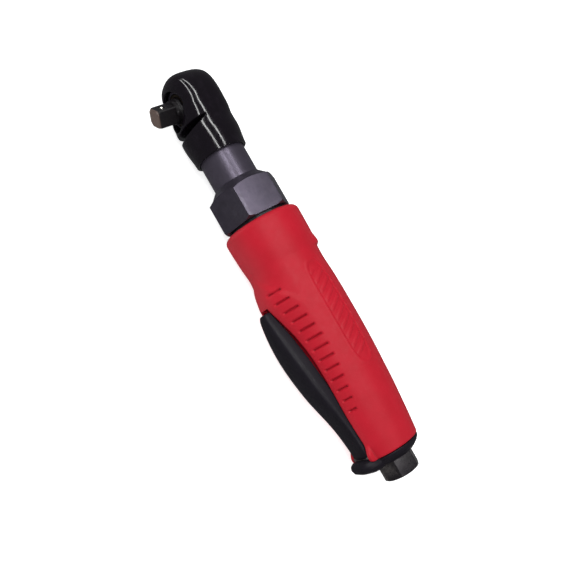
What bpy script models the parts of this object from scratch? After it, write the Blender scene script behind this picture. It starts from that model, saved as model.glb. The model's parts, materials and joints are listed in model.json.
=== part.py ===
"""An air ratchet: a pneumatic wrench with a square drive, built as its separate pieces.

Metres, +Z up, lying on its side. The origin is the middle of the square drive's end face,
-Y is the way the drive points, and +X runs along the handle to the air inlet. The tool
axis, which the neck, motor and handle share, is parallel to X at y = DRIVE_REACH.
"""

import math

import bmesh
import bpy
from mathutils import Matrix, Vector

MM = 0.001
FIT = 0.3 * MM  # clearance between two pieces that touch
LONG = 60 * MM  # a cutter's length where it passes right through

# Driving sizes. A station is a distance along the tool axis. The head's stations start at the
# drive axis. Those of the pieces behind it, from the crankshaft on, start BODY_SHIFT further back.
BODY_SHIFT = 2.75 * MM
DRIVE_REACH = 24.5 * MM
DRIVE_SQUARE = 9.525 * MM
DRIVE_TURN = math.radians(45)
HEAD_TIP = -18.0 * MM
BOOT_WALL = 1.7 * MM
BOOT_END = 32.4 * MM
BOOT_OPENING = 11.0 * MM
NECK_RADIUS = 13.2 * MM
NUT_START = 46.8 * MM
NUT_END = 70.3 * MM
NUT_ACROSS_FLATS = 36.3 * MM
NUT_TURN = math.radians(52)
GRIP_START = 72.1 * MM
GRIP_END = 210.2 * MM
GRIP_BORE = 17.6 * MM
TAIL_BORE = 13.6 * MM
LEVER_PIVOT = 207.6 * MM
LEVER_PIVOT_DEPTH = 17.2 * MM
LEVER_TIP = 117.3 * MM
EAR_RADIUS = 2.5 * MM
EAR_INNER = 7.3 * MM
EAR_OUTER = 9.6 * MM
INLET_START = 216.2 * MM
INLET_END = 226.0 * MM
INLET_ACROSS_FLATS = 19.05 * MM
INLET_BORE = 5.6 * MM

# The ratchet mechanism in the head. A depth is measured from the tool axis towards the drive.
YOKE_RADIUS = 11.3 * MM
YOKE_FRONT = 2.5 * MM
YOKE_REAR = -4.7 * MM
YOKE_TEETH = 40
YOKE_TOOTH_TIP = 7.4 * MM
YOKE_TOOTH_ROOT = 8.2 * MM
FORK_FRONT = 0.8 * MM
FORK_SLOT_START = 16.8 * MM
FORK_END = 24.35 * MM
FORK_SLOT = 5.15 * MM
FORK_HALF_WIDTH = 7.3 * MM
ANVIL_RADIUS = 6.8 * MM
CRANK_THROW = 1.6 * MM
CRANK_PIN_RADIUS = 1.7 * MM
BUSHING_RADIUS = 2.7 * MM
PAWL_PIVOT = 5.1 * MM

# The planetary gears. Ring teeth = sun teeth + 2 x planet teeth.
GEAR_MODULE = 0.75 * MM
SUN_TEETH = 12
PLANET_TEETH = 9
RING_TEETH = SUN_TEETH + 2 * PLANET_TEETH
PLANETS = 3
GEARS_START = 59.0 * MM
GEARS_END = 66.0 * MM
PLANET_ORBIT = GEAR_MODULE * (SUN_TEETH + PLANET_TEETH) / 2

# The vane motor.
MOTOR_RADIUS = 14.6 * MM
CYLINDER_START = 77.3 * MM
CYLINDER_END = 117.0 * MM
CYLINDER_BORE = 11.6 * MM
CYLINDER_OFFSET = 1.7 * MM
ROTOR_RADIUS = 9.6 * MM
VANES = 5
VANE_WIDTH = 5.2 * MM
VANE_THICKNESS = 1.3 * MM

# The throttle valve, under the lever.
VALVE_STATION = 188.0 * MM

COLOURS = {
    "red_grip": ((0.47, 0.012, 0.028), 0.5, 0.0),
    "black_rubber": ((0.006, 0.005, 0.008), 0.18, 0.0),
    "black_plastic": ((0.018, 0.016, 0.02), 0.5, 0.0),
    "dark_steel": ((0.075, 0.068, 0.09), 0.38, 0.9),
    "black_oxide": ((0.02, 0.018, 0.02), 0.35, 0.8),
    "bright_steel": ((0.55, 0.55, 0.56), 0.25, 1.0),
    "aluminium": ((0.6, 0.6, 0.62), 0.4, 1.0),
    "brass": ((0.62, 0.42, 0.14), 0.35, 1.0),
    "vane_resin": ((0.16, 0.07, 0.03), 0.6, 0.0),
    "felt": ((0.25, 0.24, 0.22), 0.95, 0.0),
}

# How many flat sides a round shape is given, by its size.
FINE = 24
ROUND = 16
SMALL = 10

ALONG_X = (0, math.pi / 2, 0)  # turns a shape made along its own Z to lie along the tool
ALONG_DRIVE = (math.pi / 2, 0, 0)  # turns it to lie along the drive axis, drive end up


def clear_scene():
    for old in list(bpy.data.objects):
        bpy.data.objects.remove(old, do_unlink=True)


def new_collection(name, hidden=False):
    collection = bpy.data.collections.new(name)
    collection.hide_render = hidden
    bpy.context.scene.collection.children.link(collection)
    return collection


clear_scene()
PARTS = new_collection("air_ratchet")
CUTTERS = new_collection("cutters", hidden=True)


def make_material(name):
    colour, roughness, metallic = COLOURS[name]
    material = bpy.data.materials.new(name)
    material.use_nodes = True
    shader = material.node_tree.nodes["Principled BSDF"]
    shader.inputs["Base Color"].default_value = (*colour, 1)
    shader.inputs["Roughness"].default_value = roughness
    shader.inputs["Metallic"].default_value = metallic
    material.diffuse_color = (*colour, 1)
    return material


MATERIALS = {name: make_material(name) for name in COLOURS}


# Placing and joining


def tool_point(station, depth=0.0, side=0.0):
    """World place of a point given along the tool, towards the drive, and up."""
    return Vector((station, DRIVE_REACH - depth, side))


def add_object(name, mesh):
    obj = bpy.data.objects.new(name, mesh)
    CUTTERS.objects.link(obj)
    obj.hide_render = True
    obj.display_type = "WIRE"
    return obj


def place(obj, station=0.0, depth=0.0, side=0.0, turn=(0, 0, 0)):
    obj.location = tool_point(station, depth, side)
    obj.rotation_euler = turn
    return obj


def settle(obj):
    """Replaces the object by its evaluated mesh, welded, so that it can be cut or joined."""
    bpy.context.view_layer.update()
    graph = bpy.context.evaluated_depsgraph_get()
    mesh = bpy.data.meshes.new_from_object(obj.evaluated_get(graph))
    shape = bmesh.new()
    shape.from_mesh(mesh)
    bmesh.ops.remove_doubles(shape, verts=shape.verts, dist=1e-6)
    shape.to_mesh(mesh)
    shape.free()
    settled = add_object(obj.name, mesh)
    settled.matrix_world = obj.matrix_world
    name = obj.name
    bpy.data.objects.remove(obj, do_unlink=True)
    settled.name = name
    return settled


def combine(obj, others, operation):
    for other in others:
        modifier = obj.modifiers.new(other.name, "BOOLEAN")
        modifier.operation = operation
        modifier.object = other
    return settle(obj)


def cut(obj, *others):
    return combine(obj, others, "DIFFERENCE")


def join(obj, *others):
    return combine(obj, others, "UNION")


def keep(obj, name, material):
    """Makes a finished shape one of the tool's pieces, with its material and smooth shading."""
    if obj.modifiers:
        obj = settle(obj)
    obj.name = name
    obj.data.name = name
    obj.data.materials.clear()
    obj.data.materials.append(MATERIALS[material])
    obj.data.shade_smooth()
    obj.data.set_sharp_from_angle(angle=math.radians(32))
    CUTTERS.objects.unlink(obj)
    PARTS.objects.link(obj)
    obj.hide_render = False
    obj.display_type = "TEXTURED"
    return obj


def move_origin(obj, point):
    """Puts the object's origin at a world point without moving its surface."""
    world = obj.matrix_world.copy()
    obj.data.transform(Matrix.Translation(-point) @ world)
    obj.matrix_world = Matrix.Translation(point)
    return obj


# Shapes


def turned(name, profile, steps=ROUND):
    """A ring or a solid of revolution about its own Z, from (height, radius) points."""
    area = 0.0
    for (h0, r0), (h1, r1) in zip(profile, profile[1:] + profile[:1]):
        area += r0 * h1 - r1 * h0
    if area > 0:
        profile = profile[::-1]
    mesh = bpy.data.meshes.new(name)
    points = [(radius, 0, height) for height, radius in profile]
    pairs = [(i, (i + 1) % len(points)) for i in range(len(points))]
    edges = [(a, b) for a, b in pairs if points[a][0] > 0 or points[b][0] > 0]
    mesh.from_pydata(points, edges, [])
    obj = add_object(name, mesh)
    screw = obj.modifiers.new("turn", "SCREW")
    screw.axis = "Z"
    screw.steps = steps
    screw.render_steps = steps
    screw.use_merge_vertices = True
    screw.merge_threshold = 1e-5
    return obj


def ring(name, start, end, outer, inner, steps=ROUND):
    profile = [(start, outer), (end, outer), (end, inner), (start, inner)]
    return turned(name, profile, steps)


def rod(name, start, end, radius, steps=ROUND):
    """A solid cylinder along its own Z."""
    mesh = bpy.data.meshes.new(name)
    shape = bmesh.new()
    middle = Matrix.Translation((0, 0, (start + end) / 2))
    bmesh.ops.create_cone(
        shape, cap_ends=True, segments=steps, radius1=radius, radius2=radius,
        depth=end - start, matrix=middle,
    )
    shape.to_mesh(mesh)
    shape.free()
    return add_object(name, mesh)


def block(name, low, high):
    """A box between two corners."""
    mesh = bpy.data.meshes.new(name)
    shape = bmesh.new()
    size = Vector(high) - Vector(low)
    middle = (Vector(high) + Vector(low)) / 2
    bmesh.ops.create_cube(shape, size=1.0, matrix=Matrix.LocRotScale(middle, None, size))
    shape.to_mesh(mesh)
    shape.free()
    return add_object(name, mesh)


def ball(name, radius, steps=SMALL):
    mesh = bpy.data.meshes.new(name)
    shape = bmesh.new()
    bmesh.ops.create_uvsphere(shape, u_segments=steps, v_segments=steps // 2 + 1, radius=radius)
    shape.to_mesh(mesh)
    shape.free()
    return add_object(name, mesh)


def plate(name, outlines, start, end):
    """A flat outline, with any holes, given thickness along its own Z."""
    curve = bpy.data.curves.new(name, "CURVE")
    curve.dimensions = "2D"
    curve.fill_mode = "BOTH"
    curve.extrude = (end - start) / 2
    for outline in outlines:
        spline = curve.splines.new("POLY")
        spline.points.add(len(outline) - 1)
        for point, (x, y) in zip(spline.points, outline):
            point.co = (x, y, 0, 1)
        spline.use_cyclic_u = True
    obj = settle(add_object(name, curve))
    obj.data.transform(Matrix.Translation((0, 0, (start + end) / 2)))
    return obj


def circle_points(radius, count, turn=0.0, middle=(0.0, 0.0)):
    angles = [turn + 2 * math.pi * i / count for i in range(count)]
    return [(middle[0] + radius * math.cos(a), middle[1] + radius * math.sin(a)) for a in angles]


def hexagon(across_flats, turn):
    return circle_points(across_flats / math.sqrt(3), 6, turn)


def gear_points(teeth, tip, root, turn=0.0, tip_share=0.2, root_share=0.34):
    """A gear's outline: straight flanks between a tip land and a root land on each tooth."""
    pitch = 2 * math.pi / teeth
    points = []
    for i in range(teeth):
        middle = turn + i * pitch
        for radius, share in ((root, -0.5 + root_share / 2), (tip, -tip_share / 2),
                              (tip, tip_share / 2), (root, 0.5 - root_share / 2)):
            angle = middle + share * pitch
            points.append((radius * math.cos(angle), radius * math.sin(angle)))
    return points


def loft(name, sections):
    """A closed solid through rings of equally many points, with flat ends."""
    mesh = bpy.data.meshes.new(name)
    shape = bmesh.new()
    rows = [[shape.verts.new(point) for point in section] for section in sections]
    count = len(rows[0])
    for row, following in zip(rows, rows[1:]):
        for i in range(count):
            after = (i + 1) % count
            shape.faces.new((row[i], row[after], following[after], following[i]))
    shape.faces.new(rows[0])
    shape.faces.new(rows[-1])
    bmesh.ops.recalc_face_normals(shape, faces=shape.faces)
    shape.to_mesh(mesh)
    shape.free()
    return add_object(name, mesh)


def coil(name, radius, wire, length, turns, start=(0, 0, 0)):
    """A compression spring along its own Z."""
    curve = bpy.data.curves.new(name, "CURVE")
    curve.dimensions = "3D"
    curve.bevel_depth = wire
    curve.bevel_resolution = 0
    curve.use_fill_caps = True
    per_turn = 8
    count = int(turns * per_turn)
    spline = curve.splines.new("POLY")
    spline.points.add(count)
    for i, point in enumerate(spline.points):
        angle = 2 * math.pi * i / per_turn
        point.co = (
            start[0] + radius * math.cos(angle),
            start[1] + radius * math.sin(angle),
            start[2] + length * i / count,
            1,
        )
    return settle(add_object(name, curve))


def follow(x, stations):
    """A value read from (station, value) pairs, eased smoothly between them."""
    if x <= stations[0][0]:
        return stations[0][1]
    for (x0, v0), (x1, v1) in zip(stations, stations[1:]):
        if x <= x1:
            share = (x - x0) / (x1 - x0)
            return v0 + (v1 - v0) * share * share * (3 - 2 * share)
    return stations[-1][1]


def in_mm(*pairs):
    return [(a * MM, b * MM) for a, b in pairs]


# The head's outer form, which the rubber boot and the steel inside it share


WAIST = in_mm((0, 16.2), (9, 16.2), (15, 14.8), (21, 16.3), (33, 15.1))
FRONT = in_mm((9, 12.0), (18.5, 16.2), (33, 15.1))
REAR = in_mm((6, 13.0), (20, 16.5), (33, 15.1))
FRONT_SQUARENESS = [(9 * MM, 3.2), (19 * MM, 2.1), (33 * MM, 2.0)]
REAR_SQUARENESS = [(11 * MM, 4.5), (20 * MM, 2.1), (33 * MM, 2.0)]
NOTCH_WALL = 13.6 * MM
NOTCH_FLOOR = 4.4 * MM
NOTCH_FOOT = 14.3 * MM
NOTCH_LEAN = math.radians(74)


def head_section(x, inset, count):
    """The head's outline across the tool at one station, shrunk by inset all round."""
    dome = 1.0
    if x < 0:
        dome = math.sqrt(max(0.0, 1 - (x / (HEAD_TIP + inset)) ** 2))
    width = (follow(x, WAIST) - inset) * dome
    flatness = 1.0
    if x < 0:
        flatness = (1 - (x / (HEAD_TIP + inset)) ** 8) ** 0.33
    front = (follow(x, FRONT) - inset) * flatness
    rear = (follow(x, REAR) - inset) * flatness
    points = []
    for i in range(count):
        angle = 2 * math.pi * i / count
        c = math.cos(angle)
        s = math.sin(angle)
        power = 2 / follow(x, FRONT_SQUARENESS if c > 0 else REAR_SQUARENESS)
        depth = math.copysign(abs(c) ** power, c) * (front if c > 0 else rear)
        side = math.copysign(abs(s) ** power, s) * width
        points.append(tool_point(x, depth, side))
    return points


def head_form(name, inset, end, count=FINE):
    tip = HEAD_TIP + inset
    stations = [tip * share for share in (0.999, 0.95, 0.82, 0.6, 0.3)]
    stations += [x * MM for x in (0, 7, 11.5, 14.5, 17, 20, 25)]
    stations = [x for x in stations if x < end - 1 * MM] + [end]
    return loft(name, [head_section(x, inset, count) for x in stations])


def notch_cutter(name, inset):
    """The V across the front between the head and the neck, moved into the metal by inset."""
    slide = inset / math.sin(NOTCH_LEAN)
    floor = NOTCH_FLOOR - inset
    top = 30 * MM
    foot = NOTCH_FOOT + slide - inset / math.tan(NOTCH_LEAN)
    outline = [
        (NOTCH_WALL - inset, top),
        (NOTCH_WALL - inset, floor),
        (foot, floor),
        (foot + (top - floor) / math.tan(NOTCH_LEAN), top),
    ]
    cutter = plate(name, [outline], -LONG / 2, LONG / 2)
    cutter.matrix_world = Matrix.Translation(tool_point(0)) @ Matrix.Scale(-1, 4, (0, 1, 0))
    return apply_place(cutter)


def apply_place(obj):
    obj.data.transform(obj.matrix_world)
    if obj.matrix_world.determinant() < 0:
        obj.data.flip_normals()
    obj.matrix_world = Matrix.Identity(4)
    return obj


def drive_rod(name, rear, front, radius, steps=ROUND, station=0.0, side=0.0):
    """A cylinder parallel to the drive axis, between two depths."""
    return place(rod(name, rear, front, radius, steps), station, 0, side, ALONG_DRIVE)


def drive_ring(name, rear, front, outer, inner, steps=ROUND):
    return place(ring(name, rear, front, outer, inner, steps), turn=ALONG_DRIVE)


def tool_rod(name, start, end, radius, steps=ROUND, depth=0.0, side=0.0):
    """A cylinder along the tool, between two stations."""
    return place(rod(name, start, end, radius, steps), 0, depth, side, ALONG_X)


def tool_ring(name, start, end, outer, inner, steps=ROUND, depth=0.0):
    return place(ring(name, start, end, outer, inner, steps), 0, depth, 0, ALONG_X)


def tool_turned(name, profile, steps=ROUND):
    return place(turned(name, profile, steps), turn=ALONG_X)


def tool_block(name, low, high):
    """A box between two corners given as station, depth and side."""
    near = tool_point(*low)
    far = tool_point(*high)
    low_corner = [min(a, b) for a, b in zip(near, far)]
    high_corner = [max(a, b) for a, b in zip(near, far)]
    return block(name, low_corner, high_corner)


# The head


def protective_boot():
    boot = head_form("boot", 0.0, BOOT_END)
    cavity = head_form("boot_cavity", BOOT_WALL, BOOT_END + 4 * MM)
    cavity = cut(cavity, notch_cutter("notch_in_cavity", BOOT_WALL))
    boot = cut(
        boot,
        notch_cutter("notch_in_boot", 0.0),
        cavity,
        drive_rod("boot_front_opening", 0, LONG / 2, BOOT_OPENING, FINE),
        drive_rod("boot_rear_opening", -LONG / 2, 0, BOOT_OPENING + 1 * MM, FINE),
    )
    return keep(boot, "protective_boot", "black_rubber")


def ratchet_housing():
    inset = BOOT_WALL + FIT
    head = cut(head_form("steel_head", inset, 34 * MM), notch_cutter("notch_in_steel", inset))
    flange_start = 53.3 * MM + BODY_SHIFT
    flange_end = 57.0 * MM + BODY_SHIFT
    neck = [
        (30 * MM, NECK_RADIUS), (flange_start, NECK_RADIUS), (flange_start, 15.9 * MM),
        (flange_end, 15.9 * MM), (flange_end, 0), (30 * MM, 0),
    ]
    swing_room = [
        (19 * MM, 10.2 * MM), (22.4 * MM, 10.2 * MM), (26.0 * MM, 6.9 * MM), (44.0 * MM, 6.9 * MM),
        (44.0 * MM, 5.6 * MM), (49.0 * MM, 5.6 * MM), (49.0 * MM, 12.6 * MM),
        (58.0 * MM, 12.6 * MM), (58.0 * MM, 0), (19 * MM, 0),
    ]
    housing = join(head, tool_turned("neck", neck, FINE))
    fork_room = (
        (8 * MM, YOKE_REAR - FIT, -9.6 * MM),
        (FORK_END - 1.6 * MM, FORK_FRONT + FIT, 9.6 * MM),
    )
    housing = cut(
        housing,
        drive_rod("yoke_bore", -LONG / 2, 4.0 * MM, YOKE_RADIUS + 0.4 * MM, FINE),
        drive_rod("snap_groove", -9.8 * MM, -8.6 * MM, YOKE_RADIUS + 1.0 * MM, FINE),
        drive_rod("anvil_bore", 0, LONG / 2, 9.2 * MM),
        tool_block("fork_room", *fork_room),
        tool_rod("pin_room", FORK_END - 5.2 * MM, FORK_END - 2.4 * MM, 4.9 * MM),
        tool_turned("swing_room", [(x + BODY_SHIFT, radius) for x, radius in swing_room]),
    )
    return keep(housing, "ratchet_housing", "dark_steel")


def ratchet_yoke():
    """The toothed ring and the two prongs that the crank swings."""
    teeth = gear_points(YOKE_TEETH, YOKE_TOOTH_TIP, YOKE_TOOTH_ROOT, 0, 0.24, 0.5)
    disc = circle_points(YOKE_RADIUS, FINE)
    yoke = place(plate("yoke", [disc, teeth], YOKE_REAR, YOKE_FRONT), turn=ALONG_DRIVE)
    arm_low = (9.2 * MM, YOKE_REAR, -FORK_HALF_WIDTH)
    arm = tool_block("fork_arm", arm_low, (FORK_END, FORK_FRONT, FORK_HALF_WIDTH))
    slot_low = (FORK_SLOT_START, YOKE_REAR - 2 * MM, -FORK_SLOT)
    slot = tool_block("fork_slot", slot_low, (LONG, FORK_FRONT + 2 * MM, FORK_SLOT))
    yoke = join(yoke, cut(arm, slot))
    move_origin(yoke, tool_point(0))
    return keep(yoke, "ratchet_yoke", "bright_steel")


def anvil():
    """The square drive, its journals, and the slot that holds the pawl."""
    profile = [
        (-8.7 * MM, 0), (-8.7 * MM, ANVIL_RADIUS), (2.8 * MM, ANVIL_RADIUS), (2.8 * MM, 8.9 * MM),
        (3.7 * MM, 8.9 * MM), (3.7 * MM, 7.3 * MM), (10.4 * MM, 7.3 * MM), (11.2 * MM, 6.5 * MM),
        (13.6 * MM, 6.5 * MM), (13.6 * MM, 0),
    ]
    body = place(turned("anvil_body", profile), turn=ALONG_DRIVE)
    half = DRIVE_SQUARE / 2
    corner = half * math.sqrt(2)
    chamfer = 0.9 * MM
    square = place(
        plate("drive_square", [circle_points(corner, 4, math.pi / 4 + DRIVE_TURN)],
              12 * MM, DRIVE_REACH),
        turn=ALONG_DRIVE,
    )
    trim = place(turned("drive_trim", [
        (11 * MM, corner - 0.25 * MM), (DRIVE_REACH - chamfer, corner - 0.25 * MM),
        (DRIVE_REACH, half + 0.6 * MM), (DRIVE_REACH, 0), (11 * MM, 0),
    ], FINE), turn=ALONG_DRIVE)
    body = join(body, combine(square, [trim], "INTERSECT"))
    body = cut(
        body,
        tool_block("pawl_slot", (2.1 * MM, -3.9 * MM, -LONG), (LONG, 1.7 * MM, LONG)),
        drive_rod("pawl_pin_hole", -6.2 * MM, 2.2 * MM, 1.2 * MM, SMALL, PAWL_PIVOT),
        drive_rod("knob_hole", -LONG, -4.9 * MM, 3.3 * MM),
        drive_rod("plunger_hole", -6.0 * MM, 1.7 * MM, 2.9 * MM),
        socket_ball_place(rod("ball_hole", -1.0 * MM, 6.0 * MM, 1.9 * MM, SMALL)),
    )
    move_origin(body, tool_point(0))
    return keep(body, "square_drive_anvil", "black_oxide")


BALL_DEPTH = DRIVE_REACH - 5.2 * MM


def socket_ball_place(obj):
    """Lays a shape made along its own Z on one flat of the square, pointing outward."""
    outward = Matrix.Rotation(-DRIVE_TURN, 4, "Y")
    obj.matrix_world = Matrix.Translation(tool_point(0, BALL_DEPTH)) @ outward
    return obj


def socket_retainer():
    detent = ball("detent", 1.55 * MM)
    detent.data.transform(Matrix.Translation((0, 0, 3.85 * MM)))
    keep(socket_ball_place(detent), "socket_detent_ball", "bright_steel")
    spring = coil("spring", 1.0 * MM, 0.25 * MM, 2.4 * MM, 3, (0, 0, -0.5 * MM))
    keep(socket_ball_place(spring), "socket_ball_spring", "bright_steel")


def drive_pawl():
    """A rocking pawl with a tooth at each end, shown engaged on one side."""
    tilt = math.radians(5)
    outline = [
        (3.5, -1.6), (3.9, -4.6), (3.1, -5.6), (3.3, -6.2), (5.0, -4.6), (6.5, -2.0),
        (6.8, 0.0), (6.5, 2.0), (5.0, 4.6), (3.3, 6.2), (3.1, 5.6), (3.9, 4.6), (3.5, 1.6),
    ]
    points = [(x * MM - PAWL_PIVOT, z * MM) for x, z in outline]
    hole = circle_points(1.15 * MM, SMALL)
    pawl = plate("pawl", [points, hole], -3.6 * MM, 1.4 * MM)
    pawl.data.transform(Matrix.Rotation(tilt, 4, "Z"))
    place(pawl, PAWL_PIVOT, turn=ALONG_DRIVE)
    keep(pawl, "drive_pawl", "bright_steel")
    pin = drive_rod("pin", -5.9 * MM, 1.9 * MM, 0.85 * MM, SMALL, PAWL_PIVOT)
    keep(pin, "pawl_pin", "bright_steel")


def reverse_knob():
    """The knob in the head's back that tips the pawl over, with its plunger and spring."""
    aim = math.radians(35)
    disc = drive_rod("knob_disc", -12.0 * MM, -9.0 * MM, 5.9 * MM, FINE)
    stem = drive_rod("knob_stem", -9.5 * MM, -5.2 * MM, 3.0 * MM)
    nose = drive_rod("knob_nose", -5.5 * MM, 1.4 * MM, 2.55 * MM)
    low = (-5.4 * MM, -13.0 * MM, -1.3 * MM)
    handle = tool_block("knob_bar", low, (5.4 * MM, -11.5 * MM, 1.3 * MM))
    knob = join(disc, stem, nose, handle)
    bore = place(rod("plunger_bore", -1.6 * MM, 4 * MM, 1.2 * MM, SMALL), depth=-1.1 * MM,
                 turn=ALONG_X)
    knob = cut(knob, bore)
    move_origin(knob, tool_point(0))
    knob.data.transform(Matrix.Rotation(aim, 4, "Y"))
    keep(knob, "reverse_knob", "black_oxide")
    plunger = rod("plunger", 1.1 * MM, 2.75 * MM, 0.9 * MM, SMALL)
    spring = coil("spring", 0.6 * MM, 0.16 * MM, 1.9 * MM, 3, (0, 0, -1.1 * MM))
    for piece, name in ((plunger, "pawl_plunger"), (spring, "pawl_spring")):
        place(piece, depth=-1.1 * MM, turn=ALONG_X)
        piece.matrix_world = (
            Matrix.Translation(tool_point(0, -1.1 * MM)) @ Matrix.Rotation(aim, 4, "Y")
            @ Matrix.Rotation(math.pi / 2, 4, "Y")
        )
        keep(piece, name, "bright_steel")


def head_rings():
    """The anvil's bush, and the washer, cover and snap ring that close the head's back."""
    keep(drive_ring("bush", 4.2 * MM, 9.2 * MM, 8.9 * MM, 7.6 * MM), "anvil_bushing", "brass")
    keep(drive_ring("washer", -5.8 * MM, -5.0 * MM, 11.2 * MM, 7.2 * MM), "thrust_washer",
         "bright_steel")
    keep(drive_ring("cover", -8.3 * MM, -6.1 * MM, 11.3 * MM, 7.2 * MM, FINE), "head_rear_cover",
         "dark_steel")
    gap = math.radians(24)
    ends = [gap + (2 * math.pi - 2 * gap) * i / 28 for i in range(29)]
    outer = [(12.0 * MM * math.cos(a), 12.0 * MM * math.sin(a)) for a in ends]
    inner = [(9.9 * MM * math.cos(a), 9.9 * MM * math.sin(a)) for a in reversed(ends)]
    snap = place(plate("snap", [outer + inner], -9.5 * MM, -8.9 * MM), turn=ALONG_DRIVE)
    keep(snap, "cover_snap_ring", "bright_steel")


# The crank and the planetary gears


def crankshaft():
    """The crank that swings the yoke, in one piece with the carrier of the planet gears."""
    profile = [
        (22.7 * MM, 0), (22.7 * MM, 6.2 * MM), (25.2 * MM, 6.2 * MM), (25.2 * MM, 4.6 * MM),
        (52.0 * MM, 4.6 * MM), (52.0 * MM, 12.2 * MM), (57.0 * MM, 12.2 * MM), (57.0 * MM, 0),
    ]
    pin = tool_rod("crank_pin", 16.9 * MM, 23.5 * MM, CRANK_PIN_RADIUS, SMALL, -CRANK_THROW)
    crank = join(tool_turned("shaft", profile), pin)
    sun_room = tool_rod("sun_room", 54.6 * MM, LONG, 5.6 * MM)
    holes = [
        tool_rod(f"pin_hole_{i}", 53.4 * MM, LONG, 1.75 * MM, SMALL, depth, side)
        for i, (depth, side) in enumerate(planet_centres())
    ]
    crank = cut(crank, sun_room, *holes)
    move_origin(crank, tool_point(22.7 * MM))
    keep(crank, "crankshaft", "bright_steel")
    bushing = tool_ring("bushing", 17.0 * MM, 22.3 * MM, BUSHING_RADIUS, CRANK_PIN_RADIUS + FIT,
                        ROUND, -CRANK_THROW)
    keep(bushing, "drive_bushing", "brass")


def planet_centres():
    """(depth, side) of each planet gear's middle."""
    return [(y, z) for y, z in circle_points(PLANET_ORBIT, PLANETS, math.radians(30))]


def crank_bearings():
    front = tool_ring("front", 28.0 * MM, 40.0 * MM, 6.6 * MM, 4.9 * MM)
    keep(front, "crank_needle_bearing", "bright_steel")
    rear = tool_ring("rear", 44.5 * MM, 48.8 * MM, 5.4 * MM, 4.85 * MM)
    keep(rear, "crank_rear_bushing", "brass")


def planet_gears():
    pitch_radius = GEAR_MODULE * PLANET_TEETH / 2
    tip = pitch_radius + 0.8 * GEAR_MODULE
    root = pitch_radius - 1.1 * GEAR_MODULE
    for i, (depth, side) in enumerate(planet_centres()):
        outline = gear_points(PLANET_TEETH, tip, root, planet_turn(i), 0.24, 0.5)
        hole = circle_points(1.75 * MM, SMALL)
        gear = plate("planet", [outline, hole], GEARS_START + 0.5 * MM, GEARS_END - 0.5 * MM)
        gear.data.transform(Matrix.Translation((0, 0, -GEARS_START)))
        place(gear, GEARS_START, depth, side, ALONG_X)
        keep(gear, f"planet_gear_{i + 1}", "bright_steel")
        pin = tool_rod("pin", 53.7 * MM, GEARS_END + 0.4 * MM, 1.45 * MM, SMALL, depth, side)
        keep(pin, f"planet_pin_{i + 1}", "bright_steel")


def plate_angle(depth, side):
    """Angle of a place across the tool, as a plate's outline sees it once laid along X."""
    return math.atan2(-depth, -side)


def planet_turn(i):
    """Turns planet i so that its teeth sit in the spaces of the sun and of the ring."""
    outward = plate_angle(*planet_centres()[i])
    sun_phase = outward * SUN_TEETH
    return outward + math.pi - (math.pi - sun_phase) / PLANET_TEETH


def ring_gear():
    pitch_radius = GEAR_MODULE * RING_TEETH / 2
    tip = pitch_radius - 0.75 * GEAR_MODULE
    root = pitch_radius + 1.15 * GEAR_MODULE
    teeth = gear_points(RING_TEETH, tip, root, ring_turn(), 0.24, 0.5)
    rim = circle_points(13.9 * MM, FINE)
    gear = place(plate("ring", [rim, teeth], GEARS_START, GEARS_END), turn=ALONG_X)
    keep(gear, "ring_gear", "bright_steel")


def ring_turn():
    """Turns the ring so that a tooth space faces the outermost tooth of planet 1."""
    outward = plate_angle(*planet_centres()[0])
    steps = (planet_turn(0) - outward) * PLANET_TEETH / RING_TEETH
    return outward + steps + math.pi / RING_TEETH


# The nut, the motor and its housing


def collar_nut():
    edge = NUT_ACROSS_FLATS / math.sqrt(3)
    # The plate's outline is laid along the tool, where its own X points to -Z.
    corner = math.pi / 2 - NUT_TURN + math.pi
    prism = place(
        plate("nut_hexagon", [hexagon(NUT_ACROSS_FLATS, corner)], NUT_START - 1 * MM,
              NUT_END + 1 * MM), turn=ALONG_X)
    envelope = tool_turned("nut_envelope", [
        (NUT_START, NECK_RADIUS + 0.7 * MM), (50.4 * MM, 17.5 * MM), (52.6 * MM, edge),
        (69.0 * MM, edge), (NUT_END, edge - 1.7 * MM), (NUT_END, 0), (NUT_START, 0),
    ], 36)
    nut = combine(prism, [envelope], "INTERSECT")
    nut = cut(nut, tool_turned("nut_bore", [
        (NUT_START - 2 * MM, NECK_RADIUS + FIT), (53.0 * MM, NECK_RADIUS + FIT),
        (53.0 * MM, 16.6 * MM), (NUT_END + 2 * MM, 16.6 * MM), (NUT_END + 2 * MM, 0),
        (NUT_START - 2 * MM, 0),
    ], FINE))
    keep(nut, "collar_nut", "dark_steel")


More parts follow.
